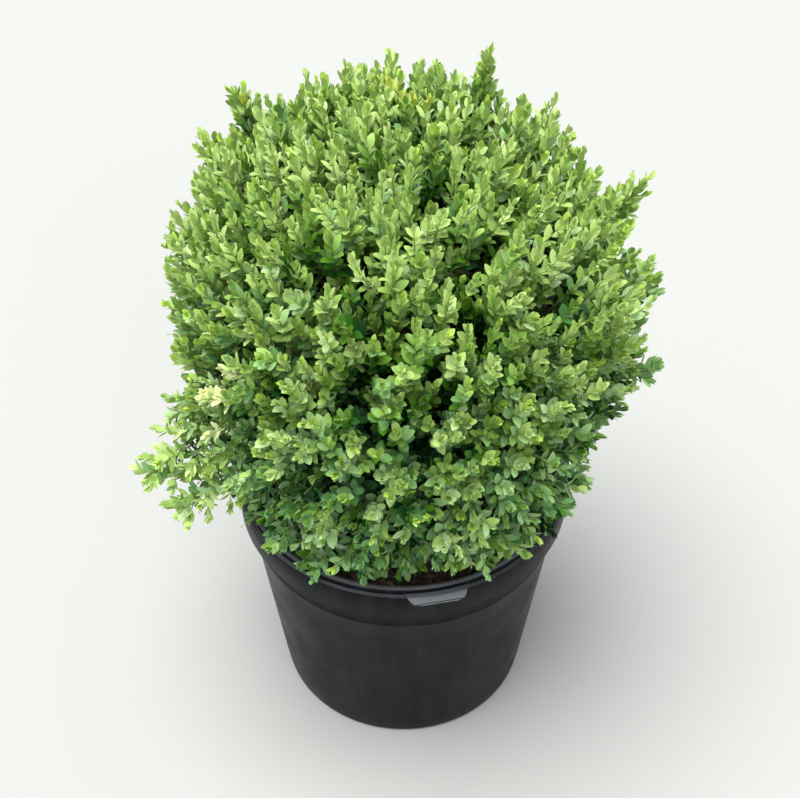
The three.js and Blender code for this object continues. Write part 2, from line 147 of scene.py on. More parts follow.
class Look:
    # one material, with short ways to add its nodes and to give it what they make
    def __init__(self, name, colour, roughness, specular=0.5):
        self.material = bpy.data.materials.new(name)
        self.material.use_nodes = True
        self.tree = self.material.node_tree
        self.give({"Base Color": screenColour(colour), "Roughness": roughness,
                   "Specular IOR Level": specular})

    def give(self, values, node=None):
        # sets what goes into a node, or into the material's own shader
        node = node or self.tree.nodes["Principled BSDF"]
        for key, value in values.items():
            if isinstance(value, bpy.types.NodeSocket):
                self.tree.links.new(value, node.inputs[key])
            else:
                node.inputs[key].default_value = value

    def add(self, kind, values=None, **settings):
        node = self.tree.nodes.new(kind)
        for key, value in settings.items():
            setattr(node, key, value)
        self.give(values or {}, node)
        return node

    def place(self, stretch):
        # where a point lies on the piece, stretched
        place = self.add("ShaderNodeTexCoord").outputs["Object"]
        return self.add("ShaderNodeMapping", {"Vector": place, "Scale": stretch}).outputs["Vector"]

    def noise(self, stretch, scale, detail, roughness=0.55):
        node = self.add("ShaderNodeTexNoise", {"Vector": self.place(stretch), "Scale": scale,
                                               "Detail": detail, "Roughness": roughness})
        return node.outputs["Fac"]

    def ramp(self, factor, stops):
        node = self.add("ShaderNodeValToRGB", {"Fac": factor})
        while len(node.color_ramp.elements) < len(stops):
            node.color_ramp.elements.new(1)
        for element, (position, colour) in zip(node.color_ramp.elements, stops):
            element.position = position
            element.color = screenColour(colour)
        return node.outputs["Color"]

    def range(self, value, low, high, newLow, newHigh):
        node = self.add("ShaderNodeMapRange", {"Value": value, "From Min": low, "From Max": high,
                                               "To Min": newLow, "To Max": newHigh})
        return node.outputs["Result"]

    def sum(self, first, second):
        node = self.add("ShaderNodeMath", {0: first, 1: second}, operation="ADD", use_clamp=True)
        return node.outputs[0]

    def product(self, first, second):
        return self.add("ShaderNodeMath", {0: first, 1: second}, operation="MULTIPLY").outputs[0]

    def upwards(self):
        # 1 where the surface faces straight up, 0 where it is upright
        normal = self.add("ShaderNodeNewGeometry").outputs["Normal"]
        return self.add("ShaderNodeSeparateXYZ", {0: normal}).outputs["Z"]

    def fromAxis(self):
        # how far a point lies from the pot's upright axis
        flat = self.place((1, 1, 0))
        return self.add("ShaderNodeVectorMath", {0: flat}, operation="LENGTH").outputs["Value"]

    def mix(self, share, under, colour):
        values = {0: share, 6: under, 7: screenColour(colour)}
        return self.add("ShaderNodeMix", values, data_type="RGBA").outputs[2]

    def bump(self, height, strength, depth, under=None):
        values = {"Height": height, "Strength": strength, "Distance": depth}
        if under is not None:
            values["Normal"] = under
        return self.add("ShaderNodeBump", values).outputs["Normal"]


def grainyMaterial(name, colour, roughness, grain, specular=0.5):
    # one plain colour with a fine uneven surface
    look = Look(name, colour, roughness, specular)
    height = look.noise(grain["stretch"], grain["scale"], grain["detail"])
    look.give({"Normal": look.bump(height, grain["strength"], grain["depth"])})
    return look.material


# Growth rule, the same as the solids': the crown's shape, its limbs, masses and sprays.
# Limbs, sprays, shoots and leaves are measured from the crown's centre; their pieces add its height.

crown = {
    "radius": 0.232,
    "halfHeight": 0.237,
    "centreHeight": 0.503,
    "squareness": 2.8,
    "unevenness": 0.022,
}

potSizes = {
    "height": 0.300,
    "rimRadius": 0.178,
    "baseRadius": 0.140,
    "wall": 0.0028,
    "lipHeight": 0.0065,
    "ledgeWidth": 0.0055,
    "bandHeight": 0.033,
    "bandStep": 0.007,
    "wallInset": 0.0015,
    "beadBelowBand": 0.027,
    "beadRadius": 0.0011,
    "footBevel": 0.004,
    "footRing": 0.104,
    "footRecess": 0.0015,
    "grooveDepth": 0.0016,
    "steps": 120,
    "roundedEdge": 0.0007,
    "roundedFrom": 28,
    "wobble": 0.0007,
    "evenWithin": 0.05,
}

# two flat grips widen the rim's ledge, opposite each other
grips = {
    "count": 2,
    "firstAngle": -80,
    "lengthAtRim": 0.068,
    "lengthAtShoulder": 0.054,
    "lengthAtEdge": 0.042,
    "shoulderStandsOut": 0.0065,
    "standsOut": 0.010,
    "thickness": 0.0032,
    "aboveLedge": 0.0004,
    "insideRim": 0.0095,
    "roundedCorner": 0.004,
}

soilSizes = {
    "belowRim": 0.019,
    "mound": 0.004,
    "gap": 0.0003,
    "rings": 40,
    "steps": 144,
    "lumps": 0.0032,
    "grains": 0.0012,
    "scales": (26, 71, 260),
}

limbs = {
    "trunkBaseRadius": 0.017,
    "trunkFlareRadius": 0.026,
    "trunkFlareHeight": 0.026,
    "trunkTipRadius": 0.006,
    "trunkTaper": 0.85,
    "trunkTop": 0.576,
    "trunkLean": 0.007,
    # sideways and forwards as shares of the lean, and how high over the ground
    "trunkPath": [(0, 0, 0), (0, 0, 0.030), (1, -0.6, 0.120), (-0.5, 0.4, 0.215)],
    "boughCount": 5,
    "boughFirstHeight": 0.322,
    "boughHeightStep": 0.013,
    "boughBaseRadius": 0.0085,
    "boughTipRadius": 0.005,
    "boughReach": 0.092,
    "boughTipHeight": 0.462,
    "boughBend": (0.5, 0.35),
    "massStemLength": 0.046,
    "massCentreSine": -0.12,
}

sprays = {
    "count": 150,
    "lowestSine": -0.95,
    "length": 0.084,
    "rise": 0.45,
    "riseBetween": (-1, 0.1),
    "unevenReach": 0.07,
    "unevenTurn": 0.12,
    "borderMargin": 0.0046,
    "testedAlong": (0, 0.4, 0.8),
    "settleTries": 40,
    "settleStep": 0.02,
    "seed": 2711,
    "outlineTilt": 40,
}

# angle round the outline as the front view shows it, how far out it stands, how upright it grows,
# how far its side twigs spread and how much lighter than the rest it is
longShoots = [
    (69, 0.016, 2.4, 0.16, 0.10),
    (27, 0.034, 0.8, 0.4, 0.10),
    (8, 0.014, 0.4, 0.5, 0.05),
    (-12, 0.012, 0.2, 0.5, 0.0),
    (124, 0.022, 1.0, 0.4, 0.0),
    (138, 0.014, 1.1, 0.4, 0.05),
    (161, 0.012, 0.5, 0.5, 0.0),
    (201, 0.018, 0.0, 0.6, 0.08),
    (209, 0.066, -0.25, 0.7, 0.24),
    (219, 0.052, -0.2, 0.7, 0.24),
]

# dents in the outline: the same angle, the depth as a share of the crown's reach, and the width
dents = [(50, 0.1, 0.26)]

goldenTurn = math.pi * (3 - math.sqrt(5))
bandFoot = potSizes["height"] - potSizes["lipHeight"] - potSizes["bandHeight"]
soilTop = potSizes["height"] - soilSizes["belowRim"] + soilSizes["mound"]
groundLine = soilTop - crown["centreHeight"]
trunkTop = limbs["trunkTop"] - crown["centreHeight"]
crownCentre = up * crown["centreHeight"]


def potOuterRadius(height):
    wallTop = potSizes["rimRadius"] - potSizes["bandStep"] - potSizes["wallInset"]
    return blend(potSizes["baseRadius"], wallTop, height / bandFoot)


def potInnerRadius(height):
    return potOuterRadius(min(height, bandFoot)) - potSizes["wall"]


soilReach = potInnerRadius(potSizes["height"])


def fromView(sideways, upwards, towards=0):
    # where a place that the front view shows lies from the crown's centre
    tilt = math.radians(sprays["outlineTilt"])
    return np.array([sideways, upwards * math.sin(tilt) - towards * math.cos(tilt),
                     upwards * math.cos(tilt) + towards * math.sin(tilt)])


def outlineDirection(angle):
    return fromView(math.cos(math.radians(angle)), math.sin(math.radians(angle)))


def dentDepth(direction):
    depth = 0
    for angle, deepest, width in dents:
        away = np.linalg.norm(direction - outlineDirection(angle), axis=-1) / width
        depth = depth + deepest * np.exp(-away ** 2)
    return depth


def crownReach(direction):
    x, y, z = np.moveaxis(direction, -1, 0)
    across = np.hypot(x, y) / crown["radius"]
    upright = np.abs(z) / crown["halfHeight"]
    even = (across ** crown["squareness"] + upright ** crown["squareness"]) ** (-1 / crown["squareness"])
    turn = np.arctan2(y, x)
    swell = np.sin(3 * turn + 0.7) * np.cos(2 * z) + np.sin(5 * turn + 4 * z + 2.1)
    return even * (1 + crown["unevenness"] * swell - dentDepth(direction))


def seededRandom(seed):
    state = seed
    while True:
        state = state * 16807 % 2147483647
        yield state / 2147483647


def outward(number):
    turn = (number + 0.5) / limbs["boughCount"] * 2 * math.pi - math.pi / 2
    return np.array([math.cos(turn), math.sin(turn), 0])


massCentres = np.array([up] + [unit(outward(number) + up * limbs["massCentreSine"])
                               for number in range(limbs["boughCount"])])


def massOf(point):
    return int(np.argmax(massCentres @ point))


def borderDistance(point, mass):
    others = np.delete(massCentres, mass, axis=0)
    return float((unit(massCentres[mass] - others) @ point).min())


def sprayFrom(direction, reachShare, rise, standsOut):
    heading = unit(direction + up * rise)
    tip = direction * crownReach(direction) * reachShare + heading * standsOut
    root = tip - heading * (sprays["length"] + standsOut)
    return {"heading": heading, "tip": tip, "root": root, "standsOut": standsOut}


def settledSpray(plan):
    # a spray turns towards its mass's centre until it keeps clear of the mass's flat borders
    aim = plan["direction"]
    for attempt in range(sprays["settleTries"]):
        spray = sprayFrom(aim, plan["reachShare"], plan["rise"], plan["standsOut"])
        points = [blend(spray["root"], spray["tip"], along) for along in sprays["testedAlong"]]
        spray.update(mass=massOf(points[1]), spread=plan["spread"], lighter=plan["lighter"])
        if min(borderDistance(point, spray["mass"]) for point in points) > sprays["borderMargin"]:
            return spray
        aim = unit(blend(aim, massCentres[spray["mass"]], sprays["settleStep"]))
    return None


def layOutSprays():
    random = seededRandom(sprays["seed"])
    plans = []
    for number in range(sprays["count"]):
        sine = 1 - (number + 0.5) / sprays["count"] * (1 - sprays["lowestSine"])
        turn = number * goldenTurn + (next(random) - 0.5) * sprays["unevenTurn"]
        flat = math.sqrt(1 - sine * sine)
        direction = np.array([math.cos(turn) * flat, math.sin(turn) * flat, sine])
        reachShare = 1 - sprays["unevenReach"] * next(random)
        rise = sprays["rise"] * float(smoothStep(sine, *sprays["riseBetween"]))
        plans.append({"direction": direction, "reachShare": reachShare, "rise": rise,
                      "standsOut": 0.0, "spread": 0.0, "lighter": 0.0})
    for angle, standsOut, rise, spread, lighter in longShoots:
        direction = outlineDirection(angle)
        nearest = max(plans, key=lambda plan: plan["direction"] @ direction)
        nearest.update(direction=direction, reachShare=1, rise=rise, standsOut=standsOut,
                       spread=spread, lighter=lighter)
    settled = [settledSpray(plan) for plan in plans]
    return [spray for spray in settled if spray is not None]


def curvePoint(start, bend, end, along):
    share = along[..., None]
    return start * (1 - share) ** 2 + bend * 2 * share * (1 - share) + end * share ** 2


def curveHeading(start, bend, end, along):
    share = along[..., None]
    return unit((bend - start) * (1 - share) + (end - bend) * share)


def smoothLine(points, steps):
    # an even, smooth line through points
    points = np.array(points, float)
    padded = np.vstack([2 * points[0] - points[1], points, 2 * points[-1] - points[-2]])
    line = []
    for number in range(len(points) - 1):
        a, b, c, d = padded[number:number + 4]
        for along in np.linspace(0, 1, steps, endpoint=False):
            line.append(0.5 * (2 * b + (c - a) * along + (2 * a - 5 * b + 4 * c - d) * along ** 2
                               + (3 * b - a - 3 * c + d) * along ** 3))
    return np.array(line + [points[-1]])


trunkPath = [(limbs["trunkLean"] * across, limbs["trunkLean"] * forwards, groundLine + height)
             for across, forwards, height in limbs["trunkPath"]]
trunkLine = smoothLine(trunkPath + [(0, 0, trunkTop)], 16)


def trunkPoint(height):
    return np.array([np.interp(height, trunkLine[:, 2], trunkLine[:, axis]) for axis in range(3)])


def boughBends(number):
    startHeight = limbs["boughFirstHeight"] + limbs["boughHeightStep"] * number - crown["centreHeight"]
    start = trunkPoint(startHeight)
    tip = outward(number) * limbs["boughReach"]
    tip[2] = limbs["boughTipHeight"] - crown["centreHeight"]
    shareOut, shareUp = limbs["boughBend"]
    bend = start + outward(number) * limbs["boughReach"] * shareOut
    bend[2] = blend(start[2], tip[2], shareUp)
    return start, bend, tip


def massStem(mass):
    # from the limb's tip straight on to the fork that the mass's sprays leave from
    if mass == 0:
        start, heading = trunkLine[-1], unit(trunkLine[-1] - trunkLine[-2])
    else:
        _, bend, start = boughBends(mass - 1)
        heading = unit(start - bend)
    return start, start + heading * limbs["massStemLength"]


allSprays = layOutSprays()
print("sprays laid out:", len(allSprays))


# Shoots: the finer twigs that end in leaves. Each leaves a spray's axis and bends outwards and up.
# Lengths are in metres; reaches, clumpDepth and hollowDepth are parts of the crown's reach.

shoots = {
    "count": 2450,
    "lowestSine": -0.97,
    "unevenPlace": 0.3,
    "rise": (0.15, 1.15),
    "riseBetween": (-0.7, 0.55),
    "unevenRise": 0.7,
    "unevenHeading": 0.17,
    "reach": 0.985,
    "unevenReach": 0.12,
    "mostlyFull": 1.4,
    "farShare": 0.18,
    "farReach": 0.065,
    "clumpDepth": 0.095,
    "clumpScale": 11,
    "clumpsBetween": (-0.05, 0.4),
    "length": 0.078,
    "bendFromTip": 0.62,
    "fork": 0.022,
    "forkBetween": (0.3, 0.92),
    "leafyLength": 0.066,
    "leafyLengthInside": 0.052,
    "leafyLengthOfSpray": 0.070,
    "leafyWhereItStandsOut": 1.2,
    "sprayEndFrom": 0.5,
    "sprayEndBend": 0.04,
    "hollowDepth": 0.24,
    "looseHollowScale": 6.5,
    "looseHollowsBetween": (0.28, 0.5),
    "looseHollowDepth": 0.8,
    "innerCount": 620,
    "innerReach": (0.50, 0.80),
    "overSoil": 0.004,
    "overRim": 0.007,
    "insideRim": 0.006,
    "tipsClear": (0.008, 0.020),
    "upturnedWithin": 0.03,
    "seed": 41,
}

# side twigs on the stretch of a long shoot that stands out of the crown
sideTwigs = {
    "count": 10,
    "morePerMetre": 160,
    "firstFromTip": 0.016,
    "gap": 0.0075,
    "length": 0.024,
    "longerEach": 0.0030,
    "longestFrom": 10,
    "forwards": 0.8,
    "upwards": 0.15,
    "bendAt": 0.4,
    "bareFoot": 0.002,
}

# deep gaps that the front view shows: sideways and upwards from the crown's middle, and how wide
hollows = [
    (-0.036, 0.016, 0.030),
    (-0.055, -0.060, 0.030),
    (-0.042, 0.128, 0.024),
    (0.062, -0.070, 0.022),
    (-0.104, -0.140, 0.026),
    (-0.072, 0.052, 0.020),
    (0.010, -0.116, 0.024),
    (-0.034, -0.159, 0.026),
    (0.096, -0.094, 0.020),
    (0.046, 0.060, 0.018),
    (0.110, 0.030, 0.018),
]

sprayTips = np.array([spray["tip"] for spray in allSprays])
sprayRoots = np.array([spray["root"] for spray in allSprays])
sprayForks = np.array([massStem(spray["mass"])[1] for spray in allSprays])
sprayBends = 2 * sprayRoots - 0.5 * (sprayForks + sprayTips)


def distanceFrom(sideways, upwards, directions):
    # how far directions pass from a place that the front view shows
    towards = math.sqrt(crown["radius"] ** 2 - sideways ** 2 - upwards ** 2)
    place = unit(fromView(sideways, upwards, towards))
    return np.linalg.norm(directions - place, axis=1) * crown["radius"]


def unevenness(directions, scale, offset=(0, 0, 0)):
    places = (Vector(direction) * scale + Vector(offset) for direction in directions)
    return np.array([noise.noise(place) for place in places])


def hollowShare(directions):
    # 1 at the bottom of a gap in the foliage and 0 well away from it
    share = np.zeros(len(directions))
    for sideways, upwards, width in hollows:
        distance = distanceFrom(sideways, upwards, directions)
        share = np.maximum(share, 1 - smoothStep(distance, width * 0.5, width))
    loose = unevenness(directions, shoots["looseHollowScale"])
    loose = smoothStep(loose, *shoots["looseHollowsBetween"])
    return np.maximum(share, shoots["looseHollowDepth"] * loose)


def lowestClear(points):
    # how low a leaf or shoot may hang: just over the potting mix, or over the rim
    radius = np.hypot(points[..., 0], points[..., 1])
    overSoil = radius < soilReach - shoots["insideRim"]
    lowest = np.where(overSoil, soilTop + shoots["overSoil"], potSizes["height"] + shoots["overRim"])
    return lowest - crown["centreHeight"]


def clumpShare(directions):
    # 1 between the clumps that the shoots stand in, 0 on them
    return smoothStep(unevenness(directions, shoots["clumpScale"], (3, 0, 0)), *shoots["clumpsBetween"])


def alongSpray(picked, along):
    return curvePoint(sprayForks[picked], sprayBends[picked], sprayTips[picked], along)


def shootRows(start, bend, end, carrier, length, leafy, hollow=0.0, inside=0.0):
    # one row for each shoot of a kind
    leafy, hollow, inside = (np.broadcast_to(values, len(end)) for values in (leafy, hollow, inside))
    return {"start": start, "bend": bend, "end": end, "carrier": carrier, "length": length,
            "leafy": leafy, "hollow": hollow, "inside": inside}


def layOutShoots(count, inside):
    random = np.random.default_rng(shoots["seed"] + inside)
    number = np.arange(count)
    spacing = math.sqrt(4 * math.pi / count)
    sine = 1 - (number + 0.5) / count * (1 - shoots["lowestSine"])
    flat = np.sqrt(1 - sine ** 2)
    turn = number * goldenTurn
    direction = np.stack([np.cos(turn) * flat, np.sin(turn) * flat, sine], axis=1)
    direction = unit(direction + random.normal(0, spacing * shoots["unevenPlace"], (count, 3)))
    hollow = hollowShare(direction)
    if inside:
        reachShare = blend(*shoots["innerReach"], random.random(count))
    else:
        drawnIn = random.random(count) ** shoots["mostlyFull"]
        reachShare = shoots["reach"] - shoots["unevenReach"] * drawnIn
        far = random.random(count) < shoots["farShare"]
        reachShare += far * shoots["farReach"] * random.random(count)
        reachShare -= shoots["hollowDepth"] * hollow + shoots["clumpDepth"] * clumpShare(direction)
    rise = eased(direction[:, 2], shoots["riseBetween"], shoots["rise"])
    rise *= aroundOne(random, count, shoots["unevenRise"])
    heading = direction + up * rise[:, None]
    heading = unit(heading + random.normal(0, shoots["unevenHeading"], (count, 3)))
    tip = direction * (crownReach(direction) * reachShare)[:, None]
    least, most = shoots["tipsClear"]
    tip[:, 2] = np.maximum(tip[:, 2], lowestClear(tip) + least + (most - least) * random.random(count))
    low = tip[:, 2] < lowestClear(tip) + shoots["upturnedWithin"]
    heading[low, 2] = np.abs(heading[low, 2])
    heading = unit(heading)

    # the spray whose straight outer half passes nearest carries the shoot
    foot = tip - heading * shoots["length"]
    stretch = sprayTips - sprayRoots
    along = np.einsum("ijk,jk->ij", foot[:, None] - sprayRoots, stretch) / (stretch ** 2).sum(axis=1)
    along = np.clip(along, 0, 1)
    nearest = sprayRoots + stretch * along[..., None]
    distance = np.linalg.norm(foot[:, None] - nearest, axis=2)
    carrier = distance.argmin(axis=1)
    along = along[number, carrier]
    fork = np.clip(0.5 + 0.5 * along - shoots["fork"] / sprays["length"], *shoots["forkBetween"])
    start = alongSpray(carrier, fork)
    length = np.linalg.norm(tip - start, axis=1)
    bend = tip - heading * (length * shoots["bendFromTip"])[:, None]
    leafy = shoots["leafyLengthInside" if inside else "leafyLength"]
    return shootRows(start, bend, tip, carrier, length, leafy, hollow, float(inside))


def sprayEnds():
    # the outer end of every spray's own axis is leafy too
    count = len(allSprays)
    curve = (sprayForks, sprayBends, sprayTips)
    along = np.full(count, shoots["sprayEndFrom"])
    start = curvePoint(*curve, along)
    bend = start + curveHeading(*curve, along) * shoots["sprayEndBend"]
    length = np.linalg.norm(sprayTips - start, axis=1)
    standsOut = np.array([spray["standsOut"] for spray in allSprays])
    leafy = shoots["leafyLengthOfSpray"] + standsOut * shoots["leafyWhereItStandsOut"]
    hollow = hollowShare(unit(sprayTips))
    return shootRows(start, bend, sprayTips, np.arange(count), length, leafy, hollow)


def longShootSides():
    rows = []
    for number, spray in enumerate(allSprays):
        if spray["standsOut"] == 0:
            continue
        onward = spray["heading"]
        sideways = unit(np.cross(onward, up))
        across = np.cross(sideways, onward)
        for step in range(sideTwigs["count"] + int(spray["standsOut"] * sideTwigs["morePerMetre"])):
            start = spray["tip"] - onward * (sideTwigs["firstFromTip"] + sideTwigs["gap"] * step)
            roll = step * goldenTurn + number
            side = (sideways * math.cos(roll) + across * math.sin(roll)) * spray["spread"]
            heading = unit(onward * sideTwigs["forwards"] + side + up * sideTwigs["upwards"])
            length = sideTwigs["length"] + sideTwigs["longerEach"] * min(step, sideTwigs["longestFrom"])
            bend = start + unit(onward + side) * length * sideTwigs["bendAt"]
            rows.append((start, bend, start + heading * length, number, length))
    columns = [np.array(column) for column in zip(*rows)]
    return shootRows(*columns, columns[-1] - sideTwigs["bareFoot"])


def joinRows(*parts):
    return {key: np.concatenate([part[key] for part in parts]) for key in parts[0]}


allShoots = joinRows(layOutShoots(shoots["count"], 0), layOutShoots(shoots["innerCount"], 1),
                     sprayEnds(), longShootSides())
clear = allShoots["end"][:, 2] > lowestClear(allShoots["end"])
allShoots = {key: values[clear] for key, values in allShoots.items()}
print("shoots laid out:", len(allShoots["length"]))


# Twigs: tubes along the stems of the masses, the sprays' axes and the shoots, and a few dead ones

def ringTurns(sides):
    return np.arange(sides) * 2 * math.pi / sides


def ringsAlong(lines, radii, sides):
    # corners in rings round every step of the lines. lines: tube, step, place. radii: step, side
    heading = unit(np.gradient(lines, axis=1))
    mean = unit(lines[:, -1] - lines[:, 0])
    away = np.where(np.abs(mean[:, 2:3]) < 0.8, up, np.array([1.0, 0.0, 0.0]))
    first = unit(np.cross(away[:, None], heading))
    second = np.cross(heading, first)
    turn = ringTurns(sides)
    ring = first[:, :, None] * np.cos(turn)[:, None] + second[:, :, None] * np.sin(turn)[:, None]
    return lines[:, :, None] + ring * radii[..., None]


def tubes(lines, radii, sides):
    # one closed tube along each line
    count, steps = lines.shape[:2]
    corners = ringsAlong(lines, radii, sides)
    step, side = np.meshgrid(np.arange(steps - 1), np.arange(sides), indexing="ij")
    here, after = step * sides + side, step * sides + (side + 1) % sides
    walls = np.stack([here, after, after + sides, here, after + sides, here + sides], axis=-1)
    fan = np.arange(1, sides - 1)
    last = (steps - 1) * sides
    foot = np.stack([np.zeros_like(fan), fan + 1, fan], axis=1)
    cap = np.stack([np.zeros_like(fan), fan, fan + 1], axis=1) + last
    return repeated(corners.reshape(count, -1, 3), np.concatenate([walls.reshape(-1, 3), foot, cap]))


twigs = {
    "forkRadius": 0.0046,
    "stemSteps": 4,
    "stemSides": 8,
    "woodRadii": (0.0030, 0.0009),
    "woodTaper": 0.8,
    "woodEndsAt": 0.97,
    "woodSteps": 12,
    "woodSides": 5,
    "woodyTo": 0.60,
    "wander": 0.0011,
    "shootRadii": (0.0012, 0.00045),
    "shootSteps": 4,
    "shootSides": 3,
    "greenLength": 0.05,
    "woodyShare": (0.15, 0.8),
    "deadCount": 34,
    "deadLength": (0.03, 0.065),
    "deadRadii": (0.0007, 0.0003),
    "deadFrom": (0.6, 0.3),
    "deadRise": 0.4,
    "unevenDead": 0.35,
    "deadBend": 0.006,
    "deadSteps": 5,
    "deadSides": 4,
    "seed": 77,
}


def shootCurves():
    return [allShoots[key][:, None] for key in ("start", "bend", "end")]


def twigPieces():
    random = np.random.default_rng(twigs["seed"])

    # stems of the masses
    stems = np.array([massStem(mass) for mass in range(len(massCentres))])
    steps = np.linspace(0, 1, twigs["stemSteps"])
    tip = np.array([limbs["trunkTipRadius"]] + [limbs["boughTipRadius"]] * limbs["boughCount"])
    stemMesh = tubes(blend(stems[:, :1], stems[:, 1:], steps[:, None]),
                     blend(tip[:, None], twigs["forkRadius"], steps)[..., None], twigs["stemSides"])

    # the sprays' axes that fork from them, woody at the foot and green towards the tip
    steps = np.linspace(0, twigs["woodEndsAt"], twigs["woodSteps"])
    lines = alongSpray(np.arange(len(allSprays))[:, None], steps)
    inner = lines[:, 1:-1]
    inner += random.normal(0, twigs["wander"], inner.shape)
    radii = blend(*twigs["woodRadii"], steps ** twigs["woodTaper"])[:, None]
    woody = int(np.searchsorted(steps, twigs["woodyTo"]))
    axisMesh = tubes(lines[:, :woody + 1], radii[:woody + 1], twigs["woodSides"])
    axisTipMesh = tubes(lines[:, woody:], radii[woody:], twigs["woodSides"])

    # shoots, in the same two parts
    curve = shootCurves()
    count = twigs["shootSteps"]
    share = np.clip(1 - twigs["greenLength"] / allShoots["length"], *twigs["woodyShare"])[:, None]
    steps = np.linspace(0, 1, count)
    radii = blend(*twigs["shootRadii"], np.linspace(0, 1, 2 * count - 1))[:, None]
    woodyMesh = tubes(curvePoint(*curve, steps * share), radii[:count], twigs["shootSides"])
    greenMesh = tubes(curvePoint(*curve, blend(share, 1, steps)), radii[count - 1:], twigs["shootSides"])

    # a few dead twigs stand bare among the leaves
    picked = random.choice(len(allSprays), twigs["deadCount"])
    foot = alongSpray(picked, drawn(random, len(picked), *twigs["deadFrom"]))
    heading = unit(foot) + up * twigs["deadRise"] + random.normal(0, twigs["unevenDead"], foot.shape)
    heading = unit(heading)
    length = blend(*twigs["deadLength"], random.random(len(picked)))[:, None]
    bendAway = foot + heading * (length * 0.5) + random.normal(0, twigs["deadBend"], foot.shape)
    curve = [places[:, None] for places in (foot, bendAway, foot + heading * length)]
    steps = np.linspace(0, 1, twigs["deadSteps"])
    radii = blend(*twigs["deadRadii"], steps)[:, None]
    deadMesh = tubes(curvePoint(*curve, steps), radii, twigs["deadSides"])
    return {
        "twigs_old_wood": joinMeshes(stemMesh, axisMesh, woodyMesh),
        "twigs_green": joinMeshes(axisTipMesh, greenMesh),
        "twigs_dead": deadMesh,
    }


# Leaves: opposite pairs, each pair a quarter turn round from the one below it

leafShape = {
    "length": 0.0148,
    "width": 0.0076,
    # half outline: how far along the leaf and how wide, as shares of its length and width
    "outline": [(0.16, 0.26), (0.40, 0.48), (0.68, 0.46), (0.90, 0.23)],
    "midrib": [0.40, 0.80],
    "curlDepth": 1.6,
    "unevenSize": 0.24,
    "unevenSlim": 0.22,
    "unevenCurl": 0.05,
}

# from a shoot's tip to its foot: gap to the next pair, how wide the pair opens, size, fold and curl
leafPairs = {
    "gap": [0.0010, 0.0032, 0.0046, 0.0056, 0.0060, 0.0062,
            0.0064, 0.0068, 0.0074, 0.0082, 0.0092, 0.0102],
    "opening": [10, 19, 27, 34, 40, 45, 49, 53, 57, 60, 63, 66],
    "size": [0.50, 0.72, 0.88, 0.98, 1.02, 1.02, 1.00, 0.97, 0.94, 0.90, 0.86, 0.82],
    "fold": [0.42, 0.36, 0.28, 0.20, 0.15, 0.12, 0.10, 0.08, 0.06, 0.05, 0.05, 0.05],
    "curl": [0.00, 0.01, 0.03, 0.05, 0.07, 0.09, 0.10, 0.11, 0.12, 0.12, 0.12, 0.12],
    "unevenGap": (0.85, 0.35),
    "opener": (1.25, 0.80),
    "openerBetween": (-0.6, 0.45),
    "unevenOpener": (0.8, 0.4),
    "unevenOpening": 0.12,
    "unevenSize": 0.22,
    "unevenTurn": 0.16,
    "turnsUp": 0.10,
    "facesUp": 0.25,
    "bareFoot": 0.08,
}

# darkest first: name, the tone below which a leaf has it, its cool and its warm green, and its slot
# the tone that picks a row holds painted shade and painted light as well as the leaves' own greens, so
# the rows are partly shaded and lit copies; the darker rows' warm greens are yellowed to paint light
# shining through leaves
leafTints = [
    ("leaves_shade", 0.14, "062e12", "0b2e03", "foliage_side"),
    ("leaves_deep", 0.27, "1e4f1d", "214f08", "foliage_side"),
    ("leaves_green", 0.40, "447237", "487319", "foliage_side"),
    ("leaves_mid", 0.53, "669154", "6b913b", "foliage_side"),
    ("leaves_light", 0.67, "82a969", "88a952", "foliage_top"),
    ("leaves_fresh", 0.82, "98ba7a", "9dba65", "foliage_top"),
    ("leaves_lime", 9, "aac78a", "afc777", "foliage_top"),
]

# tips of another colour: where they are gathered in the front view, how wide, how many of the
# shoots there and elsewhere have them, and how far down from the tip they reach
leafSpots = [
    {"name": "leaves_young", "colour": "a3c156", "sideways": 0.0, "upwards": 0.12,
     "width": 0.30, "share": 0.45, "elsewhere": 0.06, "fromTip": 0.0055},
    {"name": "leaves_cream", "colour": "d9e2a6", "sideways": -0.190, "upwards": -0.045,
     "width": 0.030, "share": 0.7, "elsewhere": 0.0015, "fromTip": 0.030},
    {"name": "leaves_amber", "colour": "aeb950", "sideways": 0.004, "upwards": 0.215,
     "width": 0.040, "share": 0.35, "elsewhere": 0.006, "fromTip": 0.012},
]

leafTones = {
    # tone by height, from the crown's foot to its top: painted shade on the lower leaves, painted light
    # on the upper ones
    "tone": (0.28, 0.65),
    "toneBetween": (-0.95, 0.5),
    "unevenSpray": 0.07,
    "unevenShoot": 0.155,
    "unevenLeaf": 0.045,
    "atTip": 0.19,
    # atFoot darkens leaves towards a shoot's foot, as older leaves and as painted shade deep in the
    # crown
    "atFoot": -0.31,
    # painted shade: darker between the clumps, in the hollows and on the inner shoots; softerAbove makes
    # it milder towards the top
    "paintedShadeBetweenClumps": -0.24,
    "paintedShadeInHollow": -0.16,
    "inside": -0.42,
    "softerAbove": 0.35,
    "softerBetween": (0.1, 0.8),
    "youngWithin": (0.004, 0.034),
    "oldAndShadedBeyond": (0.020, 0.062),
    # warm greens: the young tips' own yellower green, and a warm share rising with height that paints
    # light shining through the upper leaves
    "warmth": (0.26, 0.80),
    "warmthBetween": (-0.5, 0.95),
    "warmAtTip": 0.30,
    "warmWhereLighter": 1.6,
    "unevenWarmth": 0.15,
    "roughness": (0.30, 0.42),
    "roughBetween": (0.15, 1.0),
    "specular": 0.35,
    "grain": {"stretch": (1, 1, 1), "scale": 420, "detail": 2, "strength": 0.35, "depth": 0.0005},
    "seed": 5,
}


def squareTo(heading, facing):
    # the way a leaf's upper side faces: as near to facing as its heading allows
    return unit(facing - heading * (facing * heading).sum(axis=-1, keepdims=True))


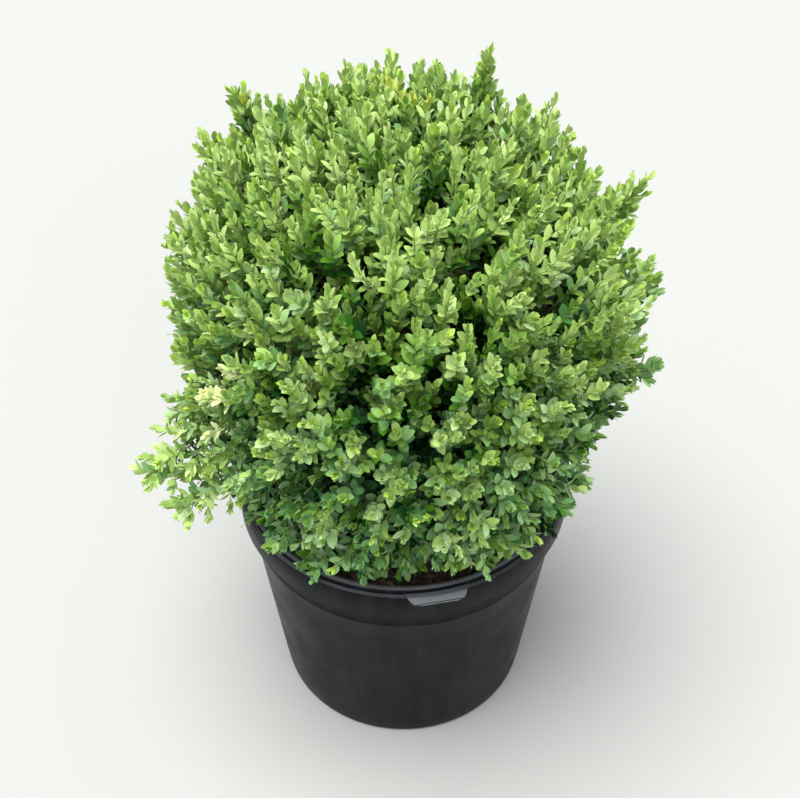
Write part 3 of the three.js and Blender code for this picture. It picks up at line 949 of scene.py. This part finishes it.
def layOutLeaves():
    random = np.random.default_rng(leafTones["seed"])
    count, levels = len(allShoots["length"]), len(leafPairs["gap"])
    gaps, openings, sizes, folds, curls = (
        np.array(leafPairs[key]) for key in ("gap", "opening", "size", "fold", "curl"))
    fromTip = np.cumsum(gaps)[None] * drawn(random, count, *leafPairs["unevenGap"])[:, None]
    along = 1 - fromTip / allShoots["length"][:, None]
    present = (fromTip < allShoots["leafy"][:, None]) & (along > leafPairs["bareFoot"])
    curve = shootCurves()
    place = curvePoint(*curve, along)
    stem = curveHeading(*curve, along)
    first = unit(np.cross(unit(random.normal(0, 1, (count, 1, 3))), stem))
    second = np.cross(stem, first)
    opener = eased(unit(allShoots["end"])[:, 2], leafPairs["openerBetween"], leafPairs["opener"])
    opener = opener * drawn(random, count, *leafPairs["unevenOpener"])
    sizeOfShoot = aroundOne(random, count, leafPairs["unevenSize"])
    rows, shape = [], (count, levels)
    for half in range(2):
        roll = np.arange(levels) * math.pi / 2 + half * math.pi
        roll = roll + random.normal(0, leafPairs["unevenTurn"], shape)
        side = first * np.cos(roll)[..., None] + second * np.sin(roll)[..., None]
        opening = np.radians(openings) * opener[:, None]
        opening = opening + random.normal(0, leafPairs["unevenOpening"], shape)
        heading = stem * np.cos(opening)[..., None] + side * np.sin(opening)[..., None]
        heading = unit(heading + up * leafPairs["turnsUp"])
        facing = stem + up * leafPairs["facesUp"]
        facing = facing + random.normal(0, leafPairs["unevenTurn"], heading.shape)
        size = sizes * sizeOfShoot[:, None] * aroundOne(random, shape, leafShape["unevenSize"])
        slim = aroundOne(random, shape, leafShape["unevenSlim"])
        fold = folds + random.normal(0, leafShape["unevenCurl"], shape)
        curl = curls + random.normal(0, leafShape["unevenCurl"], shape)
        rows.append({
            "place": place, "heading": heading, "upper": squareTo(heading, facing), "size": size,
            "slim": slim, "fold": fold, "curl": curl, "present": present, "spot": spotOf(fromTip),
            "tone": toneOf(random, fromTip), "warm": warmthOf(random, fromTip) > 0.5,
        })
    both = joinRows(*rows)
    keep = both["present"].ravel()
    return {key: values.reshape(-1, *values.shape[2:])[keep] for key, values in both.items()}


def seededSpread(step, spread, count):
    return np.random.default_rng(leafTones["seed"] + step).normal(0, spread, count)


sprayTone = seededSpread(1, leafTones["unevenSpray"], len(allSprays))
shootTone = seededSpread(2, leafTones["unevenShoot"], len(allShoots["length"]))
shootLighter = np.array([spray["lighter"] for spray in allSprays])[allShoots["carrier"]]
shootHeight = allShoots["end"][:, 2] / crown["halfHeight"]


def shootSpots():
    random = np.random.default_rng(leafTones["seed"] + 3)
    direction = unit(allShoots["end"])
    spots = np.full(len(direction), -1)
    for number, spot in enumerate(leafSpots):
        distance = distanceFrom(spot["sideways"], spot["upwards"], direction)
        share = np.where(distance < spot["width"], spot["share"], spot["elsewhere"])
        spots[random.random(len(direction)) < share] = number
    return spots


shootSpot = shootSpots()


def spotOf(fromTip):
    # which leaves of a shoot with tips of another colour have that colour; -1 for none
    reach = np.array([spot["fromTip"] for spot in leafSpots] + [0])[shootSpot]
    return np.where(fromTip < reach[:, None], shootSpot[:, None], -1)


def youngShare(fromTip):
    return 1 - smoothStep(fromTip, *leafTones["youngWithin"])


def toneOf(random, fromTip):
    # painted shade and painted light: the tone rises from the lower crown to the top
    tone = eased(shootHeight, leafTones["toneBetween"], leafTones["tone"])
    tone = tone + sprayTone[allShoots["carrier"]] + shootTone + shootLighter
    # painted shade in the hollows, between the clumps and on the inner shoots
    darker = leafTones["paintedShadeInHollow"] * allShoots["hollow"] + leafTones["inside"] * allShoots["inside"]
    darker = darker + leafTones["paintedShadeBetweenClumps"] * clumpShare(unit(allShoots["end"]))
    # the painted shade and the darkening at the shoots' feet are milder towards the top
    softer = 1 - leafTones["softerAbove"] * smoothStep(shootHeight, *leafTones["softerBetween"])
    # darker towards a shoot's foot: older leaves, and painted shade deep in the crown
    oldAndShaded = smoothStep(fromTip, *leafTones["oldAndShadedBeyond"]) * softer[:, None]
    tone = (tone + darker * softer)[:, None] + leafTones["atTip"] * youngShare(fromTip)
    tone = tone + leafTones["atFoot"] * oldAndShaded
    return tone + random.normal(0, leafTones["unevenLeaf"], fromTip.shape)


def warmthOf(random, fromTip):
    # the warm share rises with height, partly painted light shining through the upper leaves
    warmth = eased(shootHeight, leafTones["warmthBetween"], leafTones["warmth"])
    warmth = warmth + random.normal(0, leafTones["unevenWarmth"], len(fromTip))
    warmth = warmth + shootLighter * leafTones["warmWhereLighter"]
    warmth = warmth[:, None] + leafTones["warmAtTip"] * (youngShare(fromTip) - 0.5)
    return warmth + random.normal(0, leafTones["unevenWarmth"], fromTip.shape)


def leafTemplate():
    # corners as (along, across) and their triangles, both halves meeting at the midrib
    outline, midrib = leafShape["outline"], leafShape["midrib"]
    spine = [(0, 0), (midrib[0], 0), (midrib[1], 0), (1, 0)]
    corners = np.array(spine + outline + [(along, -across) for along, across in outline])
    base, low, high, tip = 0, 1, 2, 3
    triangles = []
    for first, flip in ((4, False), (8, True)):
        half = [(base, low, first), (first, low, first + 1), (first + 1, low, high),
                (first + 1, high, first + 2), (first + 2, high, first + 3), (first + 3, high, tip)]
        triangles += [(a, c, b) if flip else (a, b, c) for a, b, c in half]
    return corners, np.array(triangles)


def leafCorners(leaves):
    corners, _ = leafTemplate()
    along, across = corners[:, 0], corners[:, 1]
    length = (leaves["size"] * leafShape["length"])[:, None, None]
    width = (leaves["size"] * leaves["slim"] * leafShape["width"])[:, None, None]
    sideways = np.cross(leaves["upper"], leaves["heading"])
    lift = (leaves["fold"][:, None] * np.abs(across))[..., None] * width
    lift = lift - (leaves["curl"][:, None] * along ** 2)[..., None] * length * leafShape["curlDepth"]
    return (leaves["place"][:, None] + leaves["heading"][:, None] * along[:, None] * length
            + sideways[:, None] * across[:, None] * width + leaves["upper"][:, None] * lift)


def leafMaterial(name, colour):
    # leaves of the darker rows, older ones and those in painted shade, are glossier
    light = sum(screenColour(colour)[:3])
    roughness = float(eased(light, leafTones["roughBetween"], leafTones["roughness"]))
    return grainyMaterial(name, colour, roughness, leafTones["grain"], leafTones["specular"])


def leafPieces():
    leaves = layOutLeaves()
    corners = leafCorners(leaves)
    clear = (corners[..., 2] > lowestClear(corners)).all(axis=1)
    corners = corners[clear]
    leaves = {key: values[clear] for key, values in leaves.items()}
    _, pattern = leafTemplate()
    row = np.digitize(leaves["tone"], [tint[1] for tint in leafTints[:-1]])
    plain = leaves["spot"] < 0
    groups = []
    for number, (name, _, cool, warm, slotName) in enumerate(leafTints):
        ofRow = plain & (row == number)
        groups.append((f"{name}_cool", cool, slotName, ofRow & ~leaves["warm"]))
        groups.append((f"{name}_warm", warm, slotName, ofRow & leaves["warm"]))
    for number, spot in enumerate(leafSpots):
        groups.append((spot["name"], spot["colour"], "foliage_top", leaves["spot"] == number))
    for name, colour, slotName, chosen in groups:
        piece = pieceFromArrays(name, *repeated(corners[chosen] + crownCentre, pattern))
        finishPiece(piece, leafMaterial(name, colour), foliageNodes)
        print(name, chosen.sum(), "leaves,", chosen.sum() * len(pattern), "triangles")


leafPieces()

twigLooks = {
    "twigs_old_wood": {"colour": "6c6a48", "roughness": 0.8, "slot": "bark"},
    "twigs_green": {"colour": "7f9a45", "roughness": 0.55, "slot": "foliage_side"},
    "twigs_dead": {"colour": "8f7c60", "roughness": 0.85, "slot": "bark"},
    "grain": {"stretch": (1, 1, 0.4), "scale": 900, "detail": 3, "strength": 0.5, "depth": 0.0004},
}

for name, (corners, triangles) in twigPieces().items():
    look = twigLooks[name]
    material = grainyMaterial(name, look["colour"], look["roughness"], twigLooks["grain"])
    piece = pieceFromArrays(name, corners + crownCentre, triangles)
    finishPiece(piece, material, foliageNodes)
    print(name, len(triangles), "triangles")


# Trunk and boughs, with the bark's ridges and a swelling where each bough leaves the trunk

bark = {
    "relief": 0.0011,
    "ridges": 2.3,
    "ridgesAlong": 26,
    "fineRidges": 3.3,
    "fromLimbToLimb": 7.3,
    "fullReliefFrom": 0.008,
    "rootLobes": 0.16,
    "swelling": 0.0024,
    "swellingHeight": 0.012,
    "swellingShare": 0.14,
    "trunkSides": 30,
    "boughSides": 18,
    "boughSteps": 22,
    "inSoil": 0.004,
}


def barkRadii(line, radii, sides, offset):
    rows = np.empty((len(line), sides))
    for step, (point, radius) in enumerate(zip(line, radii)):
        for side, turn in enumerate(ringTurns(sides)):
            place = Vector((math.cos(turn) * bark["ridges"] + offset, math.sin(turn) * bark["ridges"],
                            point[2] * bark["ridgesAlong"]))
            ridge = noise.noise(place) + 0.5 * noise.noise(place * bark["fineRidges"])
            rows[step, side] = radius + bark["relief"] * ridge * min(1, radius / bark["fullReliefFrom"])
    return rows


def trunkRadii(line):
    height = line[:, 2] - groundLine
    along = np.clip(height / (trunkTop - groundLine), 0, 1)
    taper = blend(limbs["trunkBaseRadius"], limbs["trunkTipRadius"], along ** limbs["trunkTaper"])
    flare = np.clip(1 - height / limbs["trunkFlareHeight"], 0, 1.15)
    radii = taper + (limbs["trunkFlareRadius"] - limbs["trunkBaseRadius"]) * flare ** 2
    for number in range(limbs["boughCount"]):
        away = (line[:, 2] - boughBends(number)[0][2]) / bark["swellingHeight"]
        radii = radii + bark["swelling"] * np.exp(-away ** 2)
    return radii, flare


def addLimb(bm, line, radii):
    # rings along a limb, each bridged to the next, with a cap at both ends
    steps, sides = radii.shape
    lastEdges = []
    for step, places in enumerate(ringsAlong(line[None], radii, sides)[0]):
        capped = step in (0, steps - 1)
        ring = bmesh.ops.create_circle(bm, cap_ends=capped, segments=sides, radius=1)["verts"]
        for corner, place in zip(ring, places):
            corner.co = place + crownCentre
        edges = [bm.edges.get(pair) for pair in zip(ring, ring[1:] + ring[:1])]
        if lastEdges:
            bmesh.ops.bridge_loops(bm, edges=lastEdges + edges)
        lastEdges = edges


def limbPiece():
    bm = bmesh.new()
    line = trunkLine.copy()
    line[0, 2] -= bark["inSoil"]
    radii, flare = trunkRadii(line)
    rows = barkRadii(line, radii, bark["trunkSides"], 0)
    turns = ringTurns(bark["trunkSides"])
    lobes = np.cos(5 * turns + 0.6) + 0.6 * np.cos(3 * turns + 2)
    rows = rows * (1 + bark["rootLobes"] * flare[:, None] * lobes)
    addLimb(bm, line, rows)
    for number in range(limbs["boughCount"]):
        along = np.linspace(0, 1, bark["boughSteps"])
        bough = curvePoint(*boughBends(number), along)
        radii = blend(limbs["boughBaseRadius"], limbs["boughTipRadius"], along)
        radii = radii + bark["swelling"] * np.exp(-(along / bark["swellingShare"]) ** 2)
        rows = barkRadii(bough, radii, bark["boughSides"], bark["fromLimbToLimb"] * (number + 1))
        addLimb(bm, bough, rows)
    bmesh.ops.recalc_face_normals(bm, faces=bm.faces)
    return pieceFromBmesh("trunk_and_boughs", bm)


barkLooks = {
    "colour": "857457",
    "roughness": 0.88,
    "wood": [(0.32, "54472f"), (0.5, "86765a"), (0.66, "aa9c7c")],
    "cracks": "3a3023",
    "crackShare": 0.75,
    "crackDepth": 0.0012,
}


def barkMaterial():
    look = Look("bark", barkLooks["colour"], barkLooks["roughness"])
    broad = look.noise((1, 1, 0.3), 70, 6, 0.62)
    cracks = look.noise((1, 1, 0.22), 320, 5, 0.7)
    wood = look.ramp(broad, barkLooks["wood"])
    dark = look.range(cracks, 0.36, 0.52, barkLooks["crackShare"], 0)
    look.give({"Base Color": look.mix(dark, wood, barkLooks["cracks"]),
               "Normal": look.bump(cracks, 0.8, barkLooks["crackDepth"])})
    return look.material


finishPiece(limbPiece(), barkMaterial(), limbNodes)
print("trunk and boughs made")


# Pot: a thin tapering wall, a wider band round the top, a grooved ledge and a thin lip inside it

def potProfile():
    rim, ledge = potSizes["rimRadius"], potSizes["height"] - potSizes["lipHeight"]
    base, floor = potSizes["baseRadius"], potSizes["wall"]
    bead, band, lipTop = bandFoot - potSizes["beadBelowBand"], rim - 0.0006, potSizes["height"]
    lipOuter, lipInner = rim - potSizes["ledgeWidth"], potInnerRadius(ledge)
    wall = [(potOuterRadius(height), height) for height in np.linspace(0.02, bead - 0.003, 8)]
    recess, ring, bevel = (potSizes[key] for key in ("footRecess", "footRing", "footBevel"))
    return [
        (0, recess), (ring - 0.004, recess), (ring, 0), (base - bevel, 0), (base, bevel), *wall,
        (potOuterRadius(bead) + potSizes["beadRadius"], bead),
        (potOuterRadius(bead + 0.003), bead + 0.003),
        (potOuterRadius(bandFoot - 0.001), bandFoot - 0.001), (band - 0.0016, bandFoot),
        (band, bandFoot + 0.002), (rim - 0.0003, bandFoot + 0.017), (rim, ledge - 0.003),
        (rim - 0.0012, ledge), (rim - 0.0022, ledge),
        (lipOuter + 0.0016, ledge - potSizes["grooveDepth"]),
        (lipOuter + 0.0003, ledge - potSizes["grooveDepth"] * 0.6),
        (lipOuter, lipTop - 0.001), ((lipOuter + lipInner) / 2, lipTop), (lipInner, lipTop - 0.001),
        (lipInner, bandFoot), (potInnerRadius(floor), floor), (0, floor),
    ]


def gripMesh(number):
    rim = potSizes["rimRadius"]
    half = [(rim - grips["insideRim"], grips["lengthAtRim"] / 2),
            (rim + grips["shoulderStandsOut"], grips["lengthAtShoulder"] / 2),
            (rim + grips["standsOut"], grips["lengthAtEdge"] / 2)]
    outline = [(x, -y) for x, y in half] + half[::-1]
    top = potSizes["height"] - potSizes["lipHeight"] + grips["aboveLedge"]
    bm = bmesh.new()
    face = bm.faces.new([bm.verts.new((x, y, top)) for x, y in outline])
    grown = bmesh.ops.extrude_face_region(bm, geom=[face])["geom"]
    lowered = [item for item in grown if isinstance(item, bmesh.types.BMVert)]
    bmesh.ops.translate(bm, verts=lowered, vec=(0, 0, -grips["thickness"]))
    uprights = [edge for edge in bm.edges
                if abs(edge.verts[0].co.z - edge.verts[1].co.z) > grips["thickness"] / 2
                and edge.verts[0].co.x > half[0][0] + grips["roundedCorner"]]
    bmesh.ops.bevel(bm, geom=uprights, offset=grips["roundedCorner"], segments=4, profile=0.5,
                    affect="EDGES", material=-1)
    bmesh.ops.recalc_face_normals(bm, faces=bm.faces)
    angle = math.radians(grips["firstAngle"]) + number / grips["count"] * 2 * math.pi
    bmesh.ops.rotate(bm, verts=bm.verts, cent=(0, 0, 0), matrix=Matrix.Rotation(angle, 3, "Z"))
    mesh = bpy.data.meshes.new(f"grip_{number + 1}")
    bm.to_mesh(mesh)
    bm.free()
    return mesh


def potPiece():
    bm = spunBody(potProfile(), potSizes["steps"])
    for number in range(grips["count"]):
        bm.from_mesh(gripMesh(number))
    for corner in bm.verts:
        turn = math.atan2(corner.co.y, corner.co.x)
        share = max(0, corner.co.z / potSizes["height"])
        swell = potSizes["wobble"] * share * (math.sin(2 * turn + 0.5) + 0.5 * math.sin(3 * turn + 2))
        radius = math.hypot(corner.co.x, corner.co.y)
        if radius > potSizes["evenWithin"]:
            corner.co.x *= 1 + swell / radius
            corner.co.y *= 1 + swell / radius
    piece = pieceFromBmesh("pot_with_rim", bm)
    rounding = piece.modifiers.new("rounded_edges", "BEVEL")
    rounding.width = potSizes["roundedEdge"]
    rounding.segments = 2
    rounding.limit_method = "ANGLE"
    rounding.angle_limit = math.radians(potSizes["roundedFrom"])
    return piece


potLooks = {
    "colour": "15181a",
    "specular": 0.11,
    "roughness": (0.34, 0.5),
    "plastic": [(0.3, "06080b"), (0.52, "0a0d11"), (0.72, "11151a")],
    # the pale colour of dust, and of a painted sky reflection on the faces that look up and on the grips
    "dustAndSheen": "85868a",
    "dustAndSheenOnTop": 0.40,
    "dustAndSheenOnGrips": 0.5,
    "film": 0.035,
    "marks": 0.28,
}


def potMaterial():
    look = Look("pot_plastic", potLooks["colour"], 0.4, potLooks["specular"])
    streaks = look.noise((1, 1, 0.06), 64, 5, 0.6)
    clouds = look.noise((1, 1, 1), 16, 5, 0.62)
    scuffs = look.noise((0.35, 0.35, 1.6), 150, 6, 0.7)
    fine = look.noise((1, 1, 1), 700, 3)
    plastic = look.ramp(streaks, potLooks["plastic"])
    # pale dust and a painted sky reflection on the faces that look up, more of both on the grips' tops
    topDustAndSheen = look.range(look.upwards(), 0.35, 0.95, 0, potLooks["dustAndSheenOnTop"])
    edge = potSizes["rimRadius"]
    gripDustAndSheen = look.product(look.range(look.upwards(), 0.8, 0.95, 0, potLooks["dustAndSheenOnGrips"]),
                           look.range(look.fromAxis(), edge - 0.0015, edge + 0.0005, 0, 1))
    film = look.product(look.range(streaks, 0.48, 0.78, 0, potLooks["film"]),
                        look.range(clouds, 0.38, 0.66, 0.1, 1))
    marks = look.product(look.range(scuffs, 0.63, 0.74, 0, potLooks["marks"]),
                         look.range(clouds, 0.5, 0.62, 0, 1))
    dustAndSheen = look.sum(look.sum(topDustAndSheen, gripDustAndSheen), look.sum(film, marks))
    wavy = look.bump(streaks, 0.12, 0.002)
    look.give({"Base Color": look.mix(dustAndSheen, plastic, potLooks["dustAndSheen"]),
               "Roughness": look.range(clouds, 0.3, 0.7, *potLooks["roughness"]),
               "Normal": look.bump(fine, 0.12, 0.0004, wavy)})
    return look.material


finishPiece(potPiece(), potMaterial(), ["pot"])
print("pot made")


# Potting mix: an uneven fibrous surface, with bark chips, straw, moss and fallen leaves on it

def soilHeight(x, y):
    # how high the mix stands at a place, a little higher round the trunk
    share = min(1, math.hypot(x, y) / soilReach)
    place = Vector((x, y, 0))
    broad, finer, finest = (place * scale for scale in soilSizes["scales"])
    lumps = noise.noise(broad) + 0.6 * noise.noise(finer + Vector((5, 0, 0)))
    grains = noise.noise(finest)
    level = potSizes["height"] - soilSizes["belowRim"] + soilSizes["mound"] * (1 - share)
    return level + soilSizes["lumps"] * lumps + soilSizes["grains"] * grains


def soilPiece():
    # a closed body that fills the pot, with a flat top first
    gap, rings = soilSizes["gap"], soilSizes["rings"]
    top, floor = potSizes["height"] - soilSizes["belowRim"], potSizes["wall"] + gap
    outer = potInnerRadius(top) - gap
    profile = [(outer * ring / rings, top) for ring in range(rings + 1)]
    profile += [(outer, bandFoot), (potInnerRadius(floor) - gap, floor), (0, floor)]
    bm = spunBody(profile, soilSizes["steps"])
    for corner in bm.verts:
        if corner.co.z > top - 0.001:
            corner.co.z = soilHeight(corner.co.x, corner.co.y)
    return pieceFromBmesh("potting_mix_body", bm)


soilLooks = {
    "colour": "4a3829",
    "roughness": 0.95,
    "fibres": [(0.34, "1c1510"), (0.46, "3a2b20"), (0.56, "594534"), (0.68, "836b51")],
    "fibreDepth": 0.0016,
    "damp": "241b13",
    "dampShare": 0.55,
    "moss": "4c5a26",
    "mossShare": 0.7,
}


def soilMaterial():
    look = Look("potting_mix", soilLooks["colour"], soilLooks["roughness"])
    broad = look.noise((1, 1, 1), 45, 6, 0.65)
    fibres = look.noise((1, 0.35, 1), 420, 6, 0.72)
    mossy = look.noise((1, 1, 1), 17, 4, 0.6)
    dampShare = look.range(broad, 0.4, 0.62, soilLooks["dampShare"], 0)
    mossShare = look.range(mossy, 0.54, 0.62, 0, soilLooks["mossShare"])
    damp = look.mix(dampShare, look.ramp(fibres, soilLooks["fibres"]), soilLooks["damp"])
    look.give({"Base Color": look.mix(mossShare, damp, soilLooks["moss"]),
               "Normal": look.bump(fibres, 0.9, soilLooks["fibreDepth"])})
    return look.material


litter = {
    "chips": 640,
    "chipLength": (0.004, 0.013),
    "mostlyShort": 1.6,
    "chipWidthShare": (0.25, 0.60),
    "chipThickness": (0.0012, 0.0024),
    "chipTilt": 0.20,
    "chipRoll": 0.25,
    "chipLift": 0.0008,
    "unevenChips": 0.28,
    "straws": 420,
    "strawLength": (0.012, 0.036),
    "strawRadius": 0.00045,
    "strawTilt": 0.16,
    "strawBend": 0.12,
    "strawLift": 0.0016,
    "strawSteps": 5,
    "strawSides": 3,
    "strawsClear": 0.002,
    "mossPatches": 15,
    "mossSpread": (0.005, 0.014),
    "mossHeight": (0.0018, 0.0052),
    "mossWidth": 0.0012,
    "mossNearRim": 0.62,
    "mossTilt": 0.55,
    "mossClear": 0.003,
    "bladesInPatch": 170,
    "fallenLeaves": 60,
    "fallenTilt": 0.30,
    "fallenRoll": 0.35,
    "fallenLift": 0.002,
    "fallenSize": (0.70, 0.35),
    "fallenSlim": (0.80, 0.30),
    "fallenFold": (0.1, 0.3),
    "fallenCurl": (0.0, 0.25),
    "insideWall": 0.006,
    "roughness": 0.9,
    "grain": {"stretch": (1, 1, 1), "scale": 800, "detail": 3, "strength": 0.5, "depth": 0.0005},
    "seed": 19,
}


def soilPlaces(random, count, nearRim=0.0):
    # places spread over the mix, denser towards the rim where asked
    radius = (soilReach - litter["insideWall"]) * np.sqrt(nearRim + (1 - nearRim) * random.random(count))
    turn = random.random(count) * 2 * math.pi
    x, y = radius * np.cos(turn), radius * np.sin(turn)
    z = np.array([soilHeight(*place) for place in zip(x, y)])
    return np.stack([x, y, z], axis=1)


def drawInside(points, clear):
    # points past the pot's wall are drawn back to clear of it
    across = np.linalg.norm(points[..., :2], axis=-1)
    points[..., :2] *= np.minimum(1, (soilReach - clear) / across)[..., None]


def flatHeadings(random, count, tilt):
    turn = random.random(count) * 2 * math.pi
    heading = np.stack([np.cos(turn), np.sin(turn), random.normal(0, tilt, count)], axis=1)
    return unit(heading)


def chipMeshes(random, count):
    # bark chips: bricks with uneven corners
    heading = flatHeadings(random, count, litter["chipTilt"])
    sideways = unit(np.cross(up + random.normal(0, litter["chipRoll"], (count, 3)), heading))
    upper = np.cross(heading, sideways)
    length = blend(*litter["chipLength"], random.random(count) ** litter["mostlyShort"])
    width = length * blend(*litter["chipWidthShare"], random.random(count))
    size = np.stack([length, width, blend(*litter["chipThickness"], random.random(count))], axis=1) / 2
    signs = np.array([(x, y, z) for x in (-1, 1) for y in (-1, 1) for z in (-1, 1)], float)
    shape = signs[None] * size[:, None] * (1 + random.normal(0, litter["unevenChips"], (count, 8, 3)))
    axes = np.stack([heading, sideways, upper], axis=1)
    middle = soilPlaces(random, count) + up * litter["chipLift"]
    corners = middle[:, None] + np.einsum("nkj,nji->nki", shape, axes)
    faces = [(0, 1, 3, 2), (4, 6, 7, 5), (0, 4, 5, 1), (2, 3, 7, 6), (0, 2, 6, 4), (1, 5, 7, 3)]
    return repeated(corners, np.array([part for a, b, c, d in faces for part in ((a, b, c), (a, c, d))]))


def strawMeshes(random, count):
    heading = flatHeadings(random, count, litter["strawTilt"])
    length = blend(*litter["strawLength"], random.random(count))[:, None]
    middle = soilPlaces(random, count) + up * litter["strawLift"]
    bend = np.cross(heading, up) * random.normal(0, litter["strawBend"], (count, 1)) * length
    steps = np.linspace(-0.5, 0.5, litter["strawSteps"])
    lines = middle[:, None] + heading[:, None] * (steps[None] * length)[..., None]
    lines = lines + bend[:, None] * (1 - (2 * steps) ** 2)[:, None]
    drawInside(lines, litter["strawsClear"])
    radii = litter["strawRadius"] * (1 - 0.5 * np.abs(2 * steps))
    return tubes(lines, radii[:, None], litter["strawSides"])


def mossMeshes(random):
    # moss: patches of short blades near the rim
    patches, blades = litter["mossPatches"], litter["bladesInPatch"]
    middle = np.repeat(soilPlaces(random, patches, litter["mossNearRim"]), blades, axis=0)
    spread = np.repeat(blend(*litter["mossSpread"], random.random(patches)), blades)
    foot = middle + random.normal(0, 1, middle.shape) * spread[:, None] * np.array([1, 1, 0])
    drawInside(foot, litter["mossClear"])
    foot[:, 2] = [soilHeight(*place) for place in foot[:, :2]]
    heading = unit(up + random.normal(0, litter["mossTilt"], foot.shape) * np.array([1, 1, 0.2]))
    aside = unit(np.cross(heading, random.normal(0, 1, foot.shape))) * litter["mossWidth"] / 2
    tall = blend(*litter["mossHeight"], random.random(len(foot)))
    blade = np.stack([foot + aside, foot - aside, foot + heading * tall[:, None]], axis=1)
    return repeated(blade, np.arange(3)[None])


def fallenLeafMeshes(random, count):
    leaves = {"place": soilPlaces(random, count) + up * litter["fallenLift"],
              "heading": flatHeadings(random, count, litter["fallenTilt"])}
    facing = up + random.normal(0, litter["fallenRoll"], (count, 3))
    leaves["upper"] = squareTo(leaves["heading"], facing)
    leaves["size"] = drawn(random, count, *litter["fallenSize"])
    leaves["slim"] = drawn(random, count, *litter["fallenSlim"])
    leaves["fold"] = random.normal(*litter["fallenFold"], count)
    leaves["curl"] = random.normal(*litter["fallenCurl"], count)
    return repeated(leafCorners(leaves), leafTemplate()[1])


def litterPieces():
    random = np.random.default_rng(litter["seed"])
    chips, straws = litter["chips"], litter["straws"]
    return [
        ("chips_red", "553d30", chipMeshes(random, chips // 4), False),
        ("chips_tan", "685742", chipMeshes(random, chips // 3), False),
        ("chips_dark", "2a211b", chipMeshes(random, chips // 2), False),
        ("straw_pale", "8e7c5c", strawMeshes(random, straws // 2), True),
        ("straw_brown", "66523c", strawMeshes(random, straws // 2), True),
        ("moss", "4b5f2a", mossMeshes(random), False),
        ("leaves_fallen", "877652", fallenLeafMeshes(random, litter["fallenLeaves"]), True),
    ]


finishPiece(soilPiece(), soilMaterial(), ["potting_mix"])
for name, colour, (corners, triangles), smooth in litterPieces():
    material = grainyMaterial(name, colour, litter["roughness"], litter["grain"])
    piece = pieceFromArrays(name, corners, triangles, smooth)
    finishPiece(piece, material, ["potting_mix"])
print("potting mix made")


# Camera, light and floor

view = {
    "place": (-0.023, -1.069, 1.434),
    "aim": (-0.004, -0.004, 0.401),
    "lens": 65,
    "floorRadius": 30,
    "floorColour": "9c9c99",
    "floorRoughness": 0.85,
    "skyColour": "edf2f5",
    "skyStrength": 1.0,
}

# bright parts of an overcast sky: where each stands, its strength and how many degrees wide it is
clouds = [
    ("cloud", (-1.3, -0.8, 7.6), 5.6, 42),
    ("cloud_front", (2.2, -6.4, 4.6), 0.66, 31),
]


def setUpView():
    camera = bpy.data.objects.new("camera", bpy.data.cameras.new("camera"))
    bpy.context.scene.collection.objects.link(camera)
    camera.location = view["place"]
    aim = Vector(view["aim"]) - Vector(view["place"])
    camera.rotation_euler = aim.to_track_quat("-Z", "Y").to_euler()
    camera.data.lens = view["lens"]
    bpy.context.scene.camera = camera


def setUpLight():
    world = bpy.data.worlds.new("sky")
    bpy.context.scene.world = world
    world.use_nodes = True
    background = world.node_tree.nodes["Background"]
    background.inputs["Color"].default_value = screenColour(view["skyColour"])
    background.inputs["Strength"].default_value = view["skyStrength"]
    for name, place, strength, width in clouds:
        lamp = bpy.data.objects.new(name, bpy.data.lights.new(name, "SUN"))
        bpy.context.scene.collection.objects.link(lamp)
        lamp.location = place
        lamp.rotation_euler = Vector(place).to_track_quat("Z", "Y").to_euler()
        lamp.data.energy = strength
        lamp.data.angle = math.radians(width)


def setUpFloor():
    bm = bmesh.new()
    bmesh.ops.create_circle(bm, cap_ends=True, segments=96, radius=view["floorRadius"])
    floor = pieceFromBmesh("floor", bm, smooth=False)
    floor.data.materials.append(Look("floor", view["floorColour"], view["floorRoughness"]).material)


setUpView()
setUpLight()
setUpFloor()
bpy.context.scene.view_settings.view_transform = "Standard"
print("view, light and floor set")
